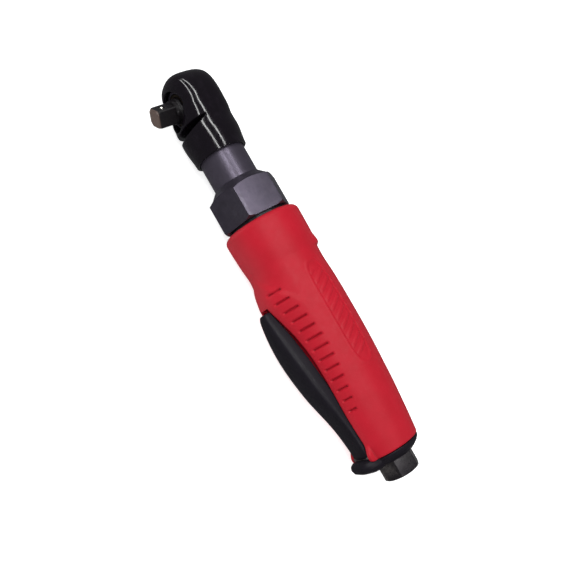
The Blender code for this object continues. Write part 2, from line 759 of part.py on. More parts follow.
def motor_housing():
    """The inner tube: nut thread in front, motor bore, valve seat and inlet thread behind."""
    outer = [
        (57.4 * MM, 16.2 * MM), (71.0 * MM, 16.2 * MM), (71.0 * MM, GRIP_BORE - FIT),
        (150 * MM, GRIP_BORE - FIT), (196 * MM, TAIL_BORE - FIT), (209.6 * MM, TAIL_BORE - FIT),
        (209.6 * MM, 9.6 * MM), (213.0 * MM, 9.6 * MM), (213.0 * MM, 0), (57.4 * MM, 0),
    ]
    tube = tool_turned("tube", outer, FINE)
    tower = place(rod("valve_tower", 5 * MM, 15.6 * MM, 6.0 * MM), VALVE_STATION,
                  turn=ALONG_DRIVE)
    tube = join(tube, tower)
    tube = cut(
        tube,
        tool_turned("motor_bore", [
            (56 * MM, 14.2 * MM), (71.6 * MM, 14.2 * MM), (71.6 * MM, MOTOR_RADIUS + FIT),
            (123.4 * MM, MOTOR_RADIUS + FIT), (123.4 * MM, 5 * MM), (180 * MM, 5 * MM),
            (180 * MM, 3.2 * MM), (196 * MM, 3.2 * MM), (199 * MM, 7.2 * MM),
            (216 * MM, 7.2 * MM), (216 * MM, 0), (56 * MM, 0),
        ], FINE),
        valve_rod("valve_bore", -4.4 * MM, 30 * MM, 3.5 * MM),
    )
    keep(tube, "motor_housing", "aluminium")


def rotor():
    slots = circle_points(1.0, VANES, vane_turn())
    core = tool_rod("core", CYLINDER_START + FIT, CYLINDER_END - FIT, ROTOR_RADIUS, FINE)
    front = tool_rod("front_journal", 66.6 * MM, 79 * MM, 3.2 * MM)
    rear = tool_rod("rear_journal", 115 * MM, 121.6 * MM, 3.2 * MM)
    sun_pitch = GEAR_MODULE * SUN_TEETH / 2
    sun = place(
        plate("sun", [gear_points(SUN_TEETH, sun_pitch + 0.75 * GEAR_MODULE,
                                  sun_pitch - 1.15 * GEAR_MODULE, 0, 0.24, 0.5)],
              57.6 * MM, 67.4 * MM), turn=ALONG_X)
    core = join(core, front, rear, sun)
    cutters = []
    for i, (c, s) in enumerate(slots):
        slot = block(
            f"vane_slot_{i}", (CYLINDER_START - 1 * MM, 3.9 * MM, -VANE_THICKNESS / 2 - FIT),
            (CYLINDER_END + 1 * MM, 20 * MM, VANE_THICKNESS / 2 + FIT))
        turn = math.atan2(s, c) - math.pi / 2
        slot.matrix_world = Matrix.Translation(tool_point(0)) @ Matrix.Rotation(turn, 4, "X")
        cutters.append(slot)
    core = cut(core, *cutters)
    move_origin(core, tool_point(CYLINDER_START))
    keep(core, "rotor", "bright_steel")


def vane_turn():
    """The first vane points at the widest gap, away from the drive side."""
    return math.pi / 2


def rotor_vanes():
    """Each vane lies flush in its slot, as it does when the motor stands still."""
    inner = ROTOR_RADIUS - VANE_WIDTH
    for i in range(VANES):
        angle = vane_turn() + 2 * math.pi * i / VANES
        vane = block("vane", (CYLINDER_START + 2 * FIT, inner, -VANE_THICKNESS / 2),
                     (CYLINDER_END - 2 * FIT, ROTOR_RADIUS - 0.1 * MM, VANE_THICKNESS / 2))
        turn = Matrix.Rotation(angle - math.pi / 2, 4, "X")
        vane.matrix_world = Matrix.Translation(tool_point(0)) @ turn
        keep(vane, f"rotor_vane_{i + 1}", "vane_resin")


def motor_cylinder():
    """The bore is set off the rotor's axis, so the space beside the rotor is a crescent."""
    body = tool_rod("cylinder", CYLINDER_START, CYLINDER_END, MOTOR_RADIUS, FINE)
    # World +Y is away from the drive, which is a negative depth.
    bore = tool_rod("bore", CYLINDER_START - LONG, CYLINDER_END + LONG, CYLINDER_BORE, FINE,
                    -CYLINDER_OFFSET)
    ports = [
        tool_block(f"exhaust_port_{i}", (x * MM, 8 * MM, -3 * MM), (x * MM + 3 * MM, 20 * MM, 3 * MM))
        for i, x in enumerate((88, 95.5, 103))
    ]
    keep(cut(body, bore, *ports), "motor_cylinder", "bright_steel")


def end_plates():
    front = tool_ring("front", 72.0 * MM, 77.0 * MM, MOTOR_RADIUS, 3.6 * MM, FINE)
    front = cut(front, tool_rod("front_pocket", 70 * MM, 75.2 * MM, 7.6 * MM))
    keep(front, "front_end_plate", "dark_steel")
    rear = tool_ring("rear", 117.3 * MM, 123.0 * MM, MOTOR_RADIUS, 3.6 * MM, FINE)
    rear = cut(rear, tool_rod("rear_pocket", 119.0 * MM, 125 * MM, 7.6 * MM))
    keep(rear, "rear_end_plate", "dark_steel")
    front_race = tool_ring("front_race", 71.8 * MM, 74.9 * MM, 7.3 * MM, 3.5 * MM)
    keep(front_race, "front_ball_bearing", "bright_steel")
    rear_race = tool_ring("rear_race", 119.3 * MM, 122.6 * MM, 7.3 * MM, 3.5 * MM)
    keep(rear_race, "rear_ball_bearing", "bright_steel")
    spacer = tool_ring("spacer", 67.8 * MM, 71.4 * MM, 13.9 * MM, 5.9 * MM)
    keep(spacer, "gear_spacer", "dark_steel")


# The grip


GRIP_BACK = in_mm((71, 18.8), (72.3, 19.6), (73.4, 21.3), (76, 22.2), (90, 22.0), (102, 20.6),
                  (117, 21.4), (140, 21.5), (160, 21.1), (181, 20.0), (203, 18.1), (211, 16.9))
GRIP_FRONT = in_mm((71, 18.8), (72.3, 19.6), (73.4, 21.3), (76, 22.4), (84, 22.0), (96, 20.8),
                   (104, 22.0), (115, 24.2), (127, 23.2), (146, 21.6), (160, 21.1),
                   (181, 20.0), (203, 18.4), (211, 17.6))
LEVER_WIDTH = in_mm((114, 2.6), (118, 3.9), (124, 5.6), (136, 8.1), (150, 9.5), (168, 9.1),
                    (185, 7.9), (200, 7.2), (208, 6.6), (214, 6.4))
LEVER_CROWN = in_mm((117, 28.4), (123, 29.4), (133, 29.8), (143, 29.6), (152, 28.8), (160, 27.6),
                    (168, 26.2), (175, 24.4), (183, 22.2), (191, 20.4), (199, 19.4),
                    (205, 19.0), (212, 18.4))
BULGE_REACH = math.radians(56)


def grip_section(x, count=30):
    points = []
    for i in range(count):
        angle = 2 * math.pi * i / count
        away = min(abs(angle), abs(2 * math.pi - angle))
        share = 0.5 + 0.5 * math.cos(math.pi * min(1.0, away / BULGE_REACH))
        back = follow(x, GRIP_BACK)
        radius = back + (follow(x, GRIP_FRONT) - back) * share
        points.append(tool_point(x, radius * math.cos(angle), radius * math.sin(angle)))
    return points


def lever_outline(margin, start, end):
    """The lever's leaf-shaped plan, as (station, side) points, grown by margin."""
    stations = [start + (end - start) * i / 14 for i in range(15)]
    upper = [(x, follow(x, LEVER_WIDTH) + margin) for x in stations]
    return upper + [(x, -side) for x, side in reversed(upper)]


def lever_well(name, depth):
    """The hollow in the grip that the lever sinks into when it is pressed."""
    well = plate(name, [lever_outline(0.6 * MM, 115.4 * MM, 214 * MM)], depth, LONG)
    # The outline's own Y is up, and the plate's thickness points to the drive side.
    well.matrix_world = Matrix.Translation(tool_point(0)) @ Matrix.Rotation(math.pi / 2, 4, "X")
    return apply_place(well)


def lever_ears():
    """The two rounded ears at the tail that the lever pin passes through."""
    turns = [math.pi * (i / 8) for i in range(9)]
    crest = [
        (LEVER_PIVOT + EAR_RADIUS * math.cos(a), LEVER_PIVOT_DEPTH + EAR_RADIUS * math.sin(a))
        for a in turns
    ]
    base = 9.4 * MM
    outline = crest + [(LEVER_PIVOT - 2.4 * EAR_RADIUS, base), (LEVER_PIVOT + EAR_RADIUS, base)]
    outline = [(x, DRIVE_REACH - depth) for x, depth in outline]
    ears = []
    for side in (-1, 1):
        low, high = sorted((side * EAR_INNER, side * EAR_OUTER))
        ears.append(plate("ear", [outline], low, high))
    return ears


def pin_hole(name):
    hole = rod(name, -LONG / 2, LONG / 2, 1.45 * MM, SMALL)
    hole.location = tool_point(LEVER_PIVOT, LEVER_PIVOT_DEPTH)
    return hole


def grip_bore(name):
    return tool_turned(name, [
        (70 * MM, GRIP_BORE), (150 * MM, GRIP_BORE), (196 * MM, TAIL_BORE),
        (215 * MM, TAIL_BORE), (215 * MM, 0), (70 * MM, 0),
    ], FINE)


def grip_sleeve():
    stations = [GRIP_START, 72.7 * MM, 73.6 * MM, 75 * MM, 78 * MM]
    stations += [x * MM for x in (87, 96, 103, 109, 115, 122, 131, 142, 155, 170, 186, 200)]
    stations.append(GRIP_END)
    grip = loft("grip", [grip_section(x) for x in stations])
    grip = cut(grip, grip_bore("grip_bore"), lever_well("well", 8 * MM))
    for ear in lever_ears():
        grip = join(grip, cut(ear, grip_bore("ear_bore"), pin_hole("ear_hole")))
    keep(grip, "grip_sleeve", "red_grip")


# The lever and the valve


LEVER_UNDER = in_mm((117, 23.8), (150, 22.4), (175, 19.6), (186, 17.6), (200, 16.6), (211, 15.8))
LEVER_SKIRT = in_mm((117, 23.6), (124, 22.9), (130, 22.2), (140, 21.0), (150, 19.9), (160, 18.7),
                    (170, 17.6), (186, 17.1), (200, 16.3), (211, 15.5))
SKIRT_WALL = 1.6 * MM


def lever_section(x, count=9):
    """A section of the lever: crowned on top, with a skirt down each side."""
    width = follow(x, LEVER_WIDTH)
    crown = follow(x, LEVER_CROWN)
    under = follow(x, LEVER_UNDER)
    skirt = follow(x, LEVER_SKIRT)
    inner = width - SKIRT_WALL
    points = [
        tool_point(x, skirt, -width), tool_point(x, skirt, -inner), tool_point(x, under, -inner),
        tool_point(x, under, inner), tool_point(x, skirt, inner), tool_point(x, skirt, width),
    ]
    shoulder = under + (crown - under) * 0.35
    for i in range(count):
        angle = math.pi * i / (count - 1)
        side = width * math.cos(angle)
        points.append(tool_point(x, shoulder + (crown - shoulder) * math.sin(angle) ** 0.7, side))
    return points


def throttle_lever():
    stations = [x * MM for x in (119, 123, 129, 136, 144, 153, 163, 173, 183, 192, 200, 206, 210.2)]
    stations.insert(0, LEVER_TIP)
    lever = loft("lever", [lever_section(x) for x in stations])
    lever = cut(lever, pin_hole("lever_hole"))
    move_origin(lever, tool_point(LEVER_PIVOT, LEVER_PIVOT_DEPTH))
    keep(lever, "throttle_lever", "black_plastic")


def lever_pin():
    pin = rod("pin", -EAR_OUTER, EAR_OUTER, 1.1 * MM, SMALL)
    pin.location = tool_point(LEVER_PIVOT, LEVER_PIVOT_DEPTH)
    keep(pin, "lever_pin", "bright_steel")


def valve_rod(name, rear, front, radius, steps=ROUND):
    return place(rod(name, rear, front, radius, steps), VALVE_STATION, turn=ALONG_DRIVE)


def throttle_valve():
    stem = [
        (-1.6 * MM, 0), (-1.6 * MM, 2.4 * MM), (0.9 * MM, 2.4 * MM), (1.9 * MM, 1.1 * MM),
        (17.1 * MM, 1.1 * MM), (17.1 * MM, 0),
    ]
    valve = place(turned("stem", stem, SMALL), VALVE_STATION, turn=ALONG_DRIVE)
    keep(valve, "throttle_valve_stem", "brass")
    guide = place(ring("guide", 6.2 * MM, 15.2 * MM, 3.2 * MM, 1.4 * MM, SMALL), VALVE_STATION,
                  turn=ALONG_DRIVE)
    keep(guide, "valve_guide_bushing", "brass")
    seal = [
        (2.5 * MM, 1.5 * MM), (2.5 * MM, 3.1 * MM), (4.2 * MM, 3.1 * MM), (4.2 * MM, 1.5 * MM),
    ]
    keep(place(turned("seal", seal, SMALL), VALVE_STATION, turn=ALONG_DRIVE), "valve_seal",
         "black_rubber")
    spring = coil("spring", 1.5 * MM, 0.25 * MM, 1.7 * MM, 2.5, (0, 0, -3.8 * MM))
    keep(place(spring, VALVE_STATION, turn=ALONG_DRIVE), "valve_spring", "bright_steel")


# The tail


CAP_OUTER = in_mm((210.5, 17.0), (212.5, 16.0), (214.5, 13.6), (216.0, 11.6))
# (station, nearest depth, furthest depth, half width) of the lobe, in mm
CAP_LOBE = ((210.6, 4, 22.0, 8.6), (212.0, 4, 22.6, 9.4), (214.2, 4, 21.6, 9.0),
            (216.2, 5, 19.2, 7.8), (217.4, 7, 15.8, 5.4))


def exhaust_cap():
    """The black end cap, with a rounded lobe on the lever side that hides the lever's tail."""
    profile = [(210.5 * MM, 0)] + CAP_OUTER + [(216.0 * MM, 0)]
    cap = tool_turned("cap", profile, FINE)
    lobe_sections = []
    for x, low, high, width in CAP_LOBE:
        middle = (low + high) / 2
        half = (high - low) / 2
        section = []
        for i in range(20):
            angle = 2 * math.pi * i / 20
            c = math.copysign(abs(math.cos(angle)) ** 0.75, math.cos(angle))
            s = math.copysign(abs(math.sin(angle)) ** 0.75, math.sin(angle))
            section.append(tool_point(x * MM, (middle + half * c) * MM, width * s * MM))
        lobe_sections.append(section)
    cap = join(cap, loft("lobe", lobe_sections))
    cap = cut(
        cap,
        tool_rod("cap_bore", 200 * MM, 214.0 * MM, 12.6 * MM),
        tool_rod("inlet_room", 200 * MM, 240 * MM, 11.4 * MM),
    )
    keep(cap, "exhaust_cap", "black_plastic")
    keep(tool_ring("muffler", 210.4 * MM, 212.9 * MM, 12.2 * MM, 10.0 * MM),
         "exhaust_muffler", "felt")


def inlet_bushing():
    corner = math.pi / 2 - NUT_TURN + math.pi
    prism = place(plate("inlet_hexagon", [hexagon(INLET_ACROSS_FLATS, corner)],
                        INLET_START - 3 * MM, INLET_END + 1 * MM), turn=ALONG_X)
    edge = INLET_ACROSS_FLATS / math.sqrt(3)
    envelope = tool_turned("inlet_envelope", [
        (213.3 * MM, edge - 0.2 * MM), (INLET_END - 1.8 * MM, edge - 0.2 * MM),
        (INLET_END - 0.5 * MM, edge - 1.5 * MM), (INLET_END, edge - 2.6 * MM), (INLET_END, 0),
        (213.3 * MM, 0),
    ], FINE)
    bushing = combine(prism, [envelope], "INTERSECT")
    thread = tool_rod("inlet_thread", 201 * MM, 214 * MM, 6.9 * MM)
    bushing = join(bushing, thread)
    bushing = cut(
        bushing,
        tool_turned("inlet_socket", [
            (206 * MM, 0), (206 * MM, 4.4 * MM), (209 * MM, INLET_BORE), (225.2 * MM, INLET_BORE),
            (227 * MM, INLET_BORE + 1.6 * MM), (227 * MM, 0),
        ]),
        tool_rod("inlet_passage", 190 * MM, 210 * MM, 3.6 * MM),
    )
    keep(bushing, "inlet_bushing", "black_oxide")
    screen = tool_turned("screen", [
        (206.6 * MM, 0), (206.6 * MM, 4.0 * MM), (207.8 * MM, 4.0 * MM), (207.8 * MM, 0),
    ])
    keep(screen, "inlet_screen", "bright_steel")


protective_boot()
ratchet_housing()
ratchet_yoke()
anvil()
socket_retainer()
drive_pawl()
reverse_knob()
head_rings()
crankshaft()
crank_bearings()
planet_gears()
ring_gear()
collar_nut()
motor_housing()
rotor()
rotor_vanes()
motor_cylinder()
end_plates()
grip_sleeve()
throttle_lever()
lever_pin()
throttle_valve()
exhaust_cap()
inlet_bushing()

HEAD_PIECES = (
    "protective_boot", "ratchet_housing", "ratchet_yoke", "square_drive_anvil",
    "socket_detent_ball", "socket_ball_spring", "drive_pawl", "pawl_pin", "reverse_knob",
    "pawl_plunger", "pawl_spring", "anvil_bushing", "thrust_washer", "head_rear_cover",
    "cover_snap_ring",
)
for piece in PARTS.objects:
    if piece.name not in HEAD_PIECES:
        piece.location.x += BODY_SHIFT
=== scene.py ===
"""The air ratchet's looks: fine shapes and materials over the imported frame, on a pale floor."""

import math

import bmesh
import bpy
from mathutils import Matrix, Vector
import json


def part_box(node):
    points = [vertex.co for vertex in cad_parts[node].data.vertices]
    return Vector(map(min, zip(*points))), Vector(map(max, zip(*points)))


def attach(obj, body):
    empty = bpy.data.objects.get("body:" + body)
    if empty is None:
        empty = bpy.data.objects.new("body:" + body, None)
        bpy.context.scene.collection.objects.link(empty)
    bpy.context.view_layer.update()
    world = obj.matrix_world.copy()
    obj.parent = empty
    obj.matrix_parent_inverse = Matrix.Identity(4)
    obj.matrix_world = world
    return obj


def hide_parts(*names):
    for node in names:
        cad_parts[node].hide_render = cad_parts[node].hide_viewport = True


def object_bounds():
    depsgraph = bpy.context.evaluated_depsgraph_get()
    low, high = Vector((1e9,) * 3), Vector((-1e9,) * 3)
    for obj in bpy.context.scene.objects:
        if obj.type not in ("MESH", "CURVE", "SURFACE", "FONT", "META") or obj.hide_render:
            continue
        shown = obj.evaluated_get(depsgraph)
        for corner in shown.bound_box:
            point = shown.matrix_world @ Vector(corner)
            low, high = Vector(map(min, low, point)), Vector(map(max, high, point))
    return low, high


MM = 0.001

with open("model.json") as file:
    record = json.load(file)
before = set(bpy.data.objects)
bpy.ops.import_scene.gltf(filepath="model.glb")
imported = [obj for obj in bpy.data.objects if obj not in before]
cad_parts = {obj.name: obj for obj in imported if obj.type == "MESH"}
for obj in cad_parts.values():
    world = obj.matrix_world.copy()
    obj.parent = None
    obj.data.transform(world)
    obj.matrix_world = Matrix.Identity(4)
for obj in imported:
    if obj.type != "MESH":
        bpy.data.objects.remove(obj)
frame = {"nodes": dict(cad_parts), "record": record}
cad_low, cad_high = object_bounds()

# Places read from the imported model. A station is a distance along the tool axis (+X). The
# head's stations start at the drive axis, and the body's start BODY_SHIFT further back.
collar_low, collar_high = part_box("collar_nut")
AXIS_Y = (collar_low.y + collar_high.y) / 2
NUT_FACE = 46.8 * MM
BODY_SHIFT = collar_low.x - NUT_FACE
BOOT_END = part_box("protective_boot")[1].x
NUT_START = collar_low.x - BODY_SHIFT
NUT_END = collar_high.x - BODY_SHIFT
GRIP_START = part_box("grip_sleeve")[0].x - BODY_SHIFT
GRIP_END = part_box("grip_sleeve")[1].x - BODY_SHIFT
LEVER_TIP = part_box("throttle_lever")[0].x - BODY_SHIFT
LEVER_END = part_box("throttle_lever")[1].x - BODY_SHIFT
CAP_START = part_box("exhaust_cap")[0].x - BODY_SHIFT
INLET_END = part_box("inlet_bushing")[1].x - BODY_SHIFT

DRIVE_SQUARE = 9.525 * MM
NECK_RADIUS = 13.2 * MM
NUT_ACROSS_FLATS = 36.3 * MM
NUT_TURN = math.radians(52)
INLET_ACROSS_FLATS = 19.05 * MM
INLET_BORE = 5.6 * MM


# Small tools


def tool_point(station, depth=0.0, side=0.0):
    """World place of a point given along the tool, towards the drive, and up."""
    return Vector((station, AXIS_Y - depth, side))


def body_point(station, depth=0.0, side=0.0):
    """The same for a point of the body, whose stations start behind the head's."""
    return Vector((station + BODY_SHIFT, AXIS_Y - depth, side))


def polar(station, radius, angle):
    """A point of the body. Angle 0 is towards the drive side and 90 degrees is up."""
    return body_point(station, radius * math.cos(angle), radius * math.sin(angle))


def smooth(low, high, x):
    share = min(1.0, max(0.0, (x - low) / (high - low)))
    return share * share * (3 - 2 * share)


def follow(x, stations):
    """A value read from (station, value) pairs, eased smoothly between them."""
    if x <= stations[0][0]:
        return stations[0][1]
    for (x0, v0), (x1, v1) in zip(stations, stations[1:]):
        if x <= x1:
            share = (x - x0) / (x1 - x0)
            return v0 + (v1 - v0) * share * share * (3 - 2 * share)
    return stations[-1][1]


def curve_through(x, stations):
    """A value read from (station, value) pairs on a smooth curve with no flat places."""
    count = len(stations)
    if x <= stations[0][0]:
        return stations[0][1]
    if x >= stations[-1][0]:
        return stations[-1][1]
    for i in range(count - 1):
        x0, v0 = stations[i]
        x1, v1 = stations[i + 1]
        if x > x1:
            continue
        before = stations[max(0, i - 1)]
        after = stations[min(count - 1, i + 2)]
        slope0 = (v1 - before[1]) / (x1 - before[0])
        slope1 = (after[1] - v0) / (after[0] - x0)
        span = x1 - x0
        t = (x - x0) / span
        return (
            (2 * t**3 - 3 * t**2 + 1) * v0 + (t**3 - 2 * t**2 + t) * span * slope0
            + (3 * t**2 - 2 * t**3) * v1 + (t**3 - t**2) * span * slope1
        )
    return stations[-1][1]


def in_mm(*pairs):
    return [(a * MM, b * MM) for a, b in pairs]


def spread(start, end, count):
    return [start + (end - start) * i / (count - 1) for i in range(count)]


def link(name, mesh):
    obj = bpy.data.objects.new(name, mesh)
    bpy.context.scene.collection.objects.link(obj)
    return obj


def finish_piece(obj, name, material, body, replaced=(), sharp=35.0):
    """Gives a piece its name, material, shading and place in the model."""
    obj.name = name
    obj.data.name = name
    obj.data.materials.clear()
    obj.data.materials.append(material)
    obj.data.shade_smooth()
    obj.data.set_sharp_from_angle(angle=math.radians(sharp))
    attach(obj, body)
    if replaced:
        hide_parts(*replaced)


def rows_mesh(name, rows, ring=True, loop=False, ends=False):
    """A mesh through rows of equally many points. ring closes each row on itself, loop joins
    the last row to the first, and ends fills the first and last rows."""
    mesh = bpy.data.meshes.new(name)
    shape = bmesh.new()
    made = [[shape.verts.new(point) for point in row] for row in rows]
    count = len(made[0])
    following = made[1:] + ([made[0]] if loop else [])
    for row, after in zip(made, following):
        for i in range(count if ring else count - 1):
            j = (i + 1) % count
            shape.faces.new((row[i], row[j], after[j], after[i]))
    if ends:
        shape.faces.new(made[0])
        shape.faces.new(made[-1])
    bmesh.ops.recalc_face_normals(shape, faces=shape.faces)
    shape.to_mesh(mesh)
    shape.free()
    return link(name, mesh)


def fillet(points, radius, steps=4, closed=True):
    """Rounds the corners of an outline."""
    out = []
    count = len(points)
    for i, point in enumerate(points):
        here = Vector(point)
        if not closed and i in (0, count - 1):
            out.append(tuple(here))
            continue
        before = Vector(points[i - 1])
        after = Vector(points[(i + 1) % count])
        to_before = before - here
        to_after = after - here
        reach = min(radius, to_before.length * 0.45, to_after.length * 0.45)
        start = here + to_before.normalized() * reach
        end = here + to_after.normalized() * reach
        for k in range(steps + 1):
            t = k / steps
            out.append(tuple(start * (1 - t) ** 2 + here * 2 * t * (1 - t) + end * t * t))
    return out


def lathe(name, profile, count=96, along="tool", closed=True):
    """A turned shape from (height, radius) points. Heights are stations along the tool, or
    depths along the drive axis. An open profile ends in flat discs."""
    rows = []
    for height, radius in profile:
        row = []
        for i in range(count):
            angle = 2 * math.pi * i / count
            a = radius * math.cos(angle)
            b = radius * math.sin(angle)
            if along == "tool":
                row.append(body_point(height, a, b))
            else:
                row.append(tool_point(a, height, b))
        rows.append(row)
    return rows_mesh(name, rows, loop=closed, ends=not closed)


def prism(name, outline, start, end, along="tool"):
    """A flat outline of (depth, side) points, or (station, side) along the drive, made thick."""
    rows = []
    for height in (start, end):
        if along == "tool":
            rows.append([body_point(height, a, b) for a, b in outline])
        else:
            rows.append([tool_point(a, height, b) for a, b in outline])
    return rows_mesh(name, rows, ends=True)


def apply_modifiers(obj):
    bpy.context.view_layer.update()
    graph = bpy.context.evaluated_depsgraph_get()
    mesh = bpy.data.meshes.new_from_object(obj.evaluated_get(graph))
    mesh.transform(obj.matrix_world)
    name = obj.name
    bpy.data.objects.remove(obj, do_unlink=True)
    return link(name, mesh)


def boolean(obj, others, operation="DIFFERENCE"):
    for other in others:
        modifier = obj.modifiers.new(other.name, "BOOLEAN")
        modifier.operation = operation
        modifier.solver = "EXACT"
        modifier.object = other
    made = apply_modifiers(obj)
    for other in others:
        bpy.data.objects.remove(other, do_unlink=True)
    return made


def bevel(obj, width, segments=3, angle=30.0):
    modifier = obj.modifiers.new("bevel", "BEVEL")
    modifier.width = width
    modifier.segments = segments
    modifier.limit_method = "ANGLE"
    modifier.angle_limit = math.radians(angle)
    return apply_modifiers(obj)


def mould(obj, voxel, passes):
    """Turns a shape into one even skin with softly rounded edges, as moulding leaves it."""
    remesh = obj.modifiers.new("even", "REMESH")
    remesh.mode = "VOXEL"
    remesh.voxel_size = voxel
    relax = obj.modifiers.new("relax", "SMOOTH")
    relax.factor = 0.5
    relax.iterations = passes
    return apply_modifiers(obj)


# Materials


class Shader:
    """A Principled material with helpers that add procedural detail to it."""

    def __init__(self, name, colour, roughness, metallic=0.0, shine=0.5):
        self.material = bpy.data.materials.new(name)
        self.material.use_nodes = True
        self.tree = self.material.node_tree
        self.shader = self.tree.nodes["Principled BSDF"]
        self.shader.inputs["Base Color"].default_value = (*colour, 1)
        self.shader.inputs["Roughness"].default_value = roughness
        self.shader.inputs["Metallic"].default_value = metallic
        self.shader.inputs["Specular IOR Level"].default_value = shine
        self.height = None

    def node(self, kind, **values):
        made = self.tree.nodes.new(kind)
        for key, value in values.items():
            setattr(made, key, value)
        return made

    def join(self, out, into):
        self.tree.links.new(out, into)

    def place(self, stretch=(1, 1, 1)):
        where = self.node("ShaderNodeTexCoord")
        mapping = self.node("ShaderNodeMapping")
        mapping.inputs["Scale"].default_value = stretch
        self.join(where.outputs["Object"], mapping.inputs["Vector"])
        return mapping.outputs["Vector"]

    def noise(self, size, detail=3.0, rough=0.55, stretch=(1, 1, 1)):
        """Noise from 0 to 1 whose blotches are about size metres across."""
        texture = self.node("ShaderNodeTexNoise")
        texture.inputs["Scale"].default_value = 1 / size
        texture.inputs["Detail"].default_value = detail
        texture.inputs["Roughness"].default_value = rough
        self.join(self.place(stretch), texture.inputs["Vector"])
        return texture.outputs["Fac"]

    def cells(self, size):
        texture = self.node("ShaderNodeTexVoronoi")
        texture.inputs["Scale"].default_value = 1 / size
        self.join(self.place(), texture.inputs["Vector"])
        return texture.outputs["Distance"]

    def span(self, value, from_low, from_high, to_low, to_high):
        change = self.node("ShaderNodeMapRange")
        change.inputs["From Min"].default_value = from_low
        change.inputs["From Max"].default_value = from_high
        change.inputs["To Min"].default_value = to_low
        change.inputs["To Max"].default_value = to_high
        self.join(value, change.inputs["Value"])
        return change.outputs["Result"]

    def tint(self, value, other):
        """Blends the colour so far towards another one by value."""
        mix = self.node("ShaderNodeMix", data_type="RGBA")
        base = self.shader.inputs["Base Color"]
        if base.is_linked:
            self.join(base.links[0].from_socket, mix.inputs["A"])
        else:
            mix.inputs["A"].default_value = base.default_value
        mix.inputs["B"].default_value = (*other, 1)
        self.join(value, mix.inputs["Factor"])
        self.join(mix.outputs["Result"], base)

    def gloss(self, value, low, high):
        """Roughness from low to high as value goes over its usual spread."""
        self.join(self.span(value, 0.3, 0.7, low, high), self.shader.inputs["Roughness"])

    def relief(self, value, distance, strength=1.0):
        bump = self.node("ShaderNodeBump")
        bump.inputs["Distance"].default_value = distance
        bump.inputs["Strength"].default_value = strength
        self.join(value, bump.inputs["Height"])
        if self.height is not None:
            self.join(self.height, bump.inputs["Normal"])
        self.height = bump.outputs["Normal"]
        self.join(self.height, self.shader.inputs["Normal"])

    def worn_edges(self, colour, low=0.52, high=0.6, amount=0.8):
        """Brighter on the outward edges, broken up by noise, as handling leaves them."""
        shape = self.node("ShaderNodeNewGeometry")
        edge = self.span(shape.outputs["Pointiness"], low, high, 0.0, amount)
        patches = self.span(self.noise(1.5 * MM), 0.35, 0.65, 0.35, 1.0)
        both = self.node("ShaderNodeMath", operation="MULTIPLY")
        self.join(edge, both.inputs[0])
        self.join(patches, both.inputs[1])
        self.tint(both.outputs["Value"], colour)


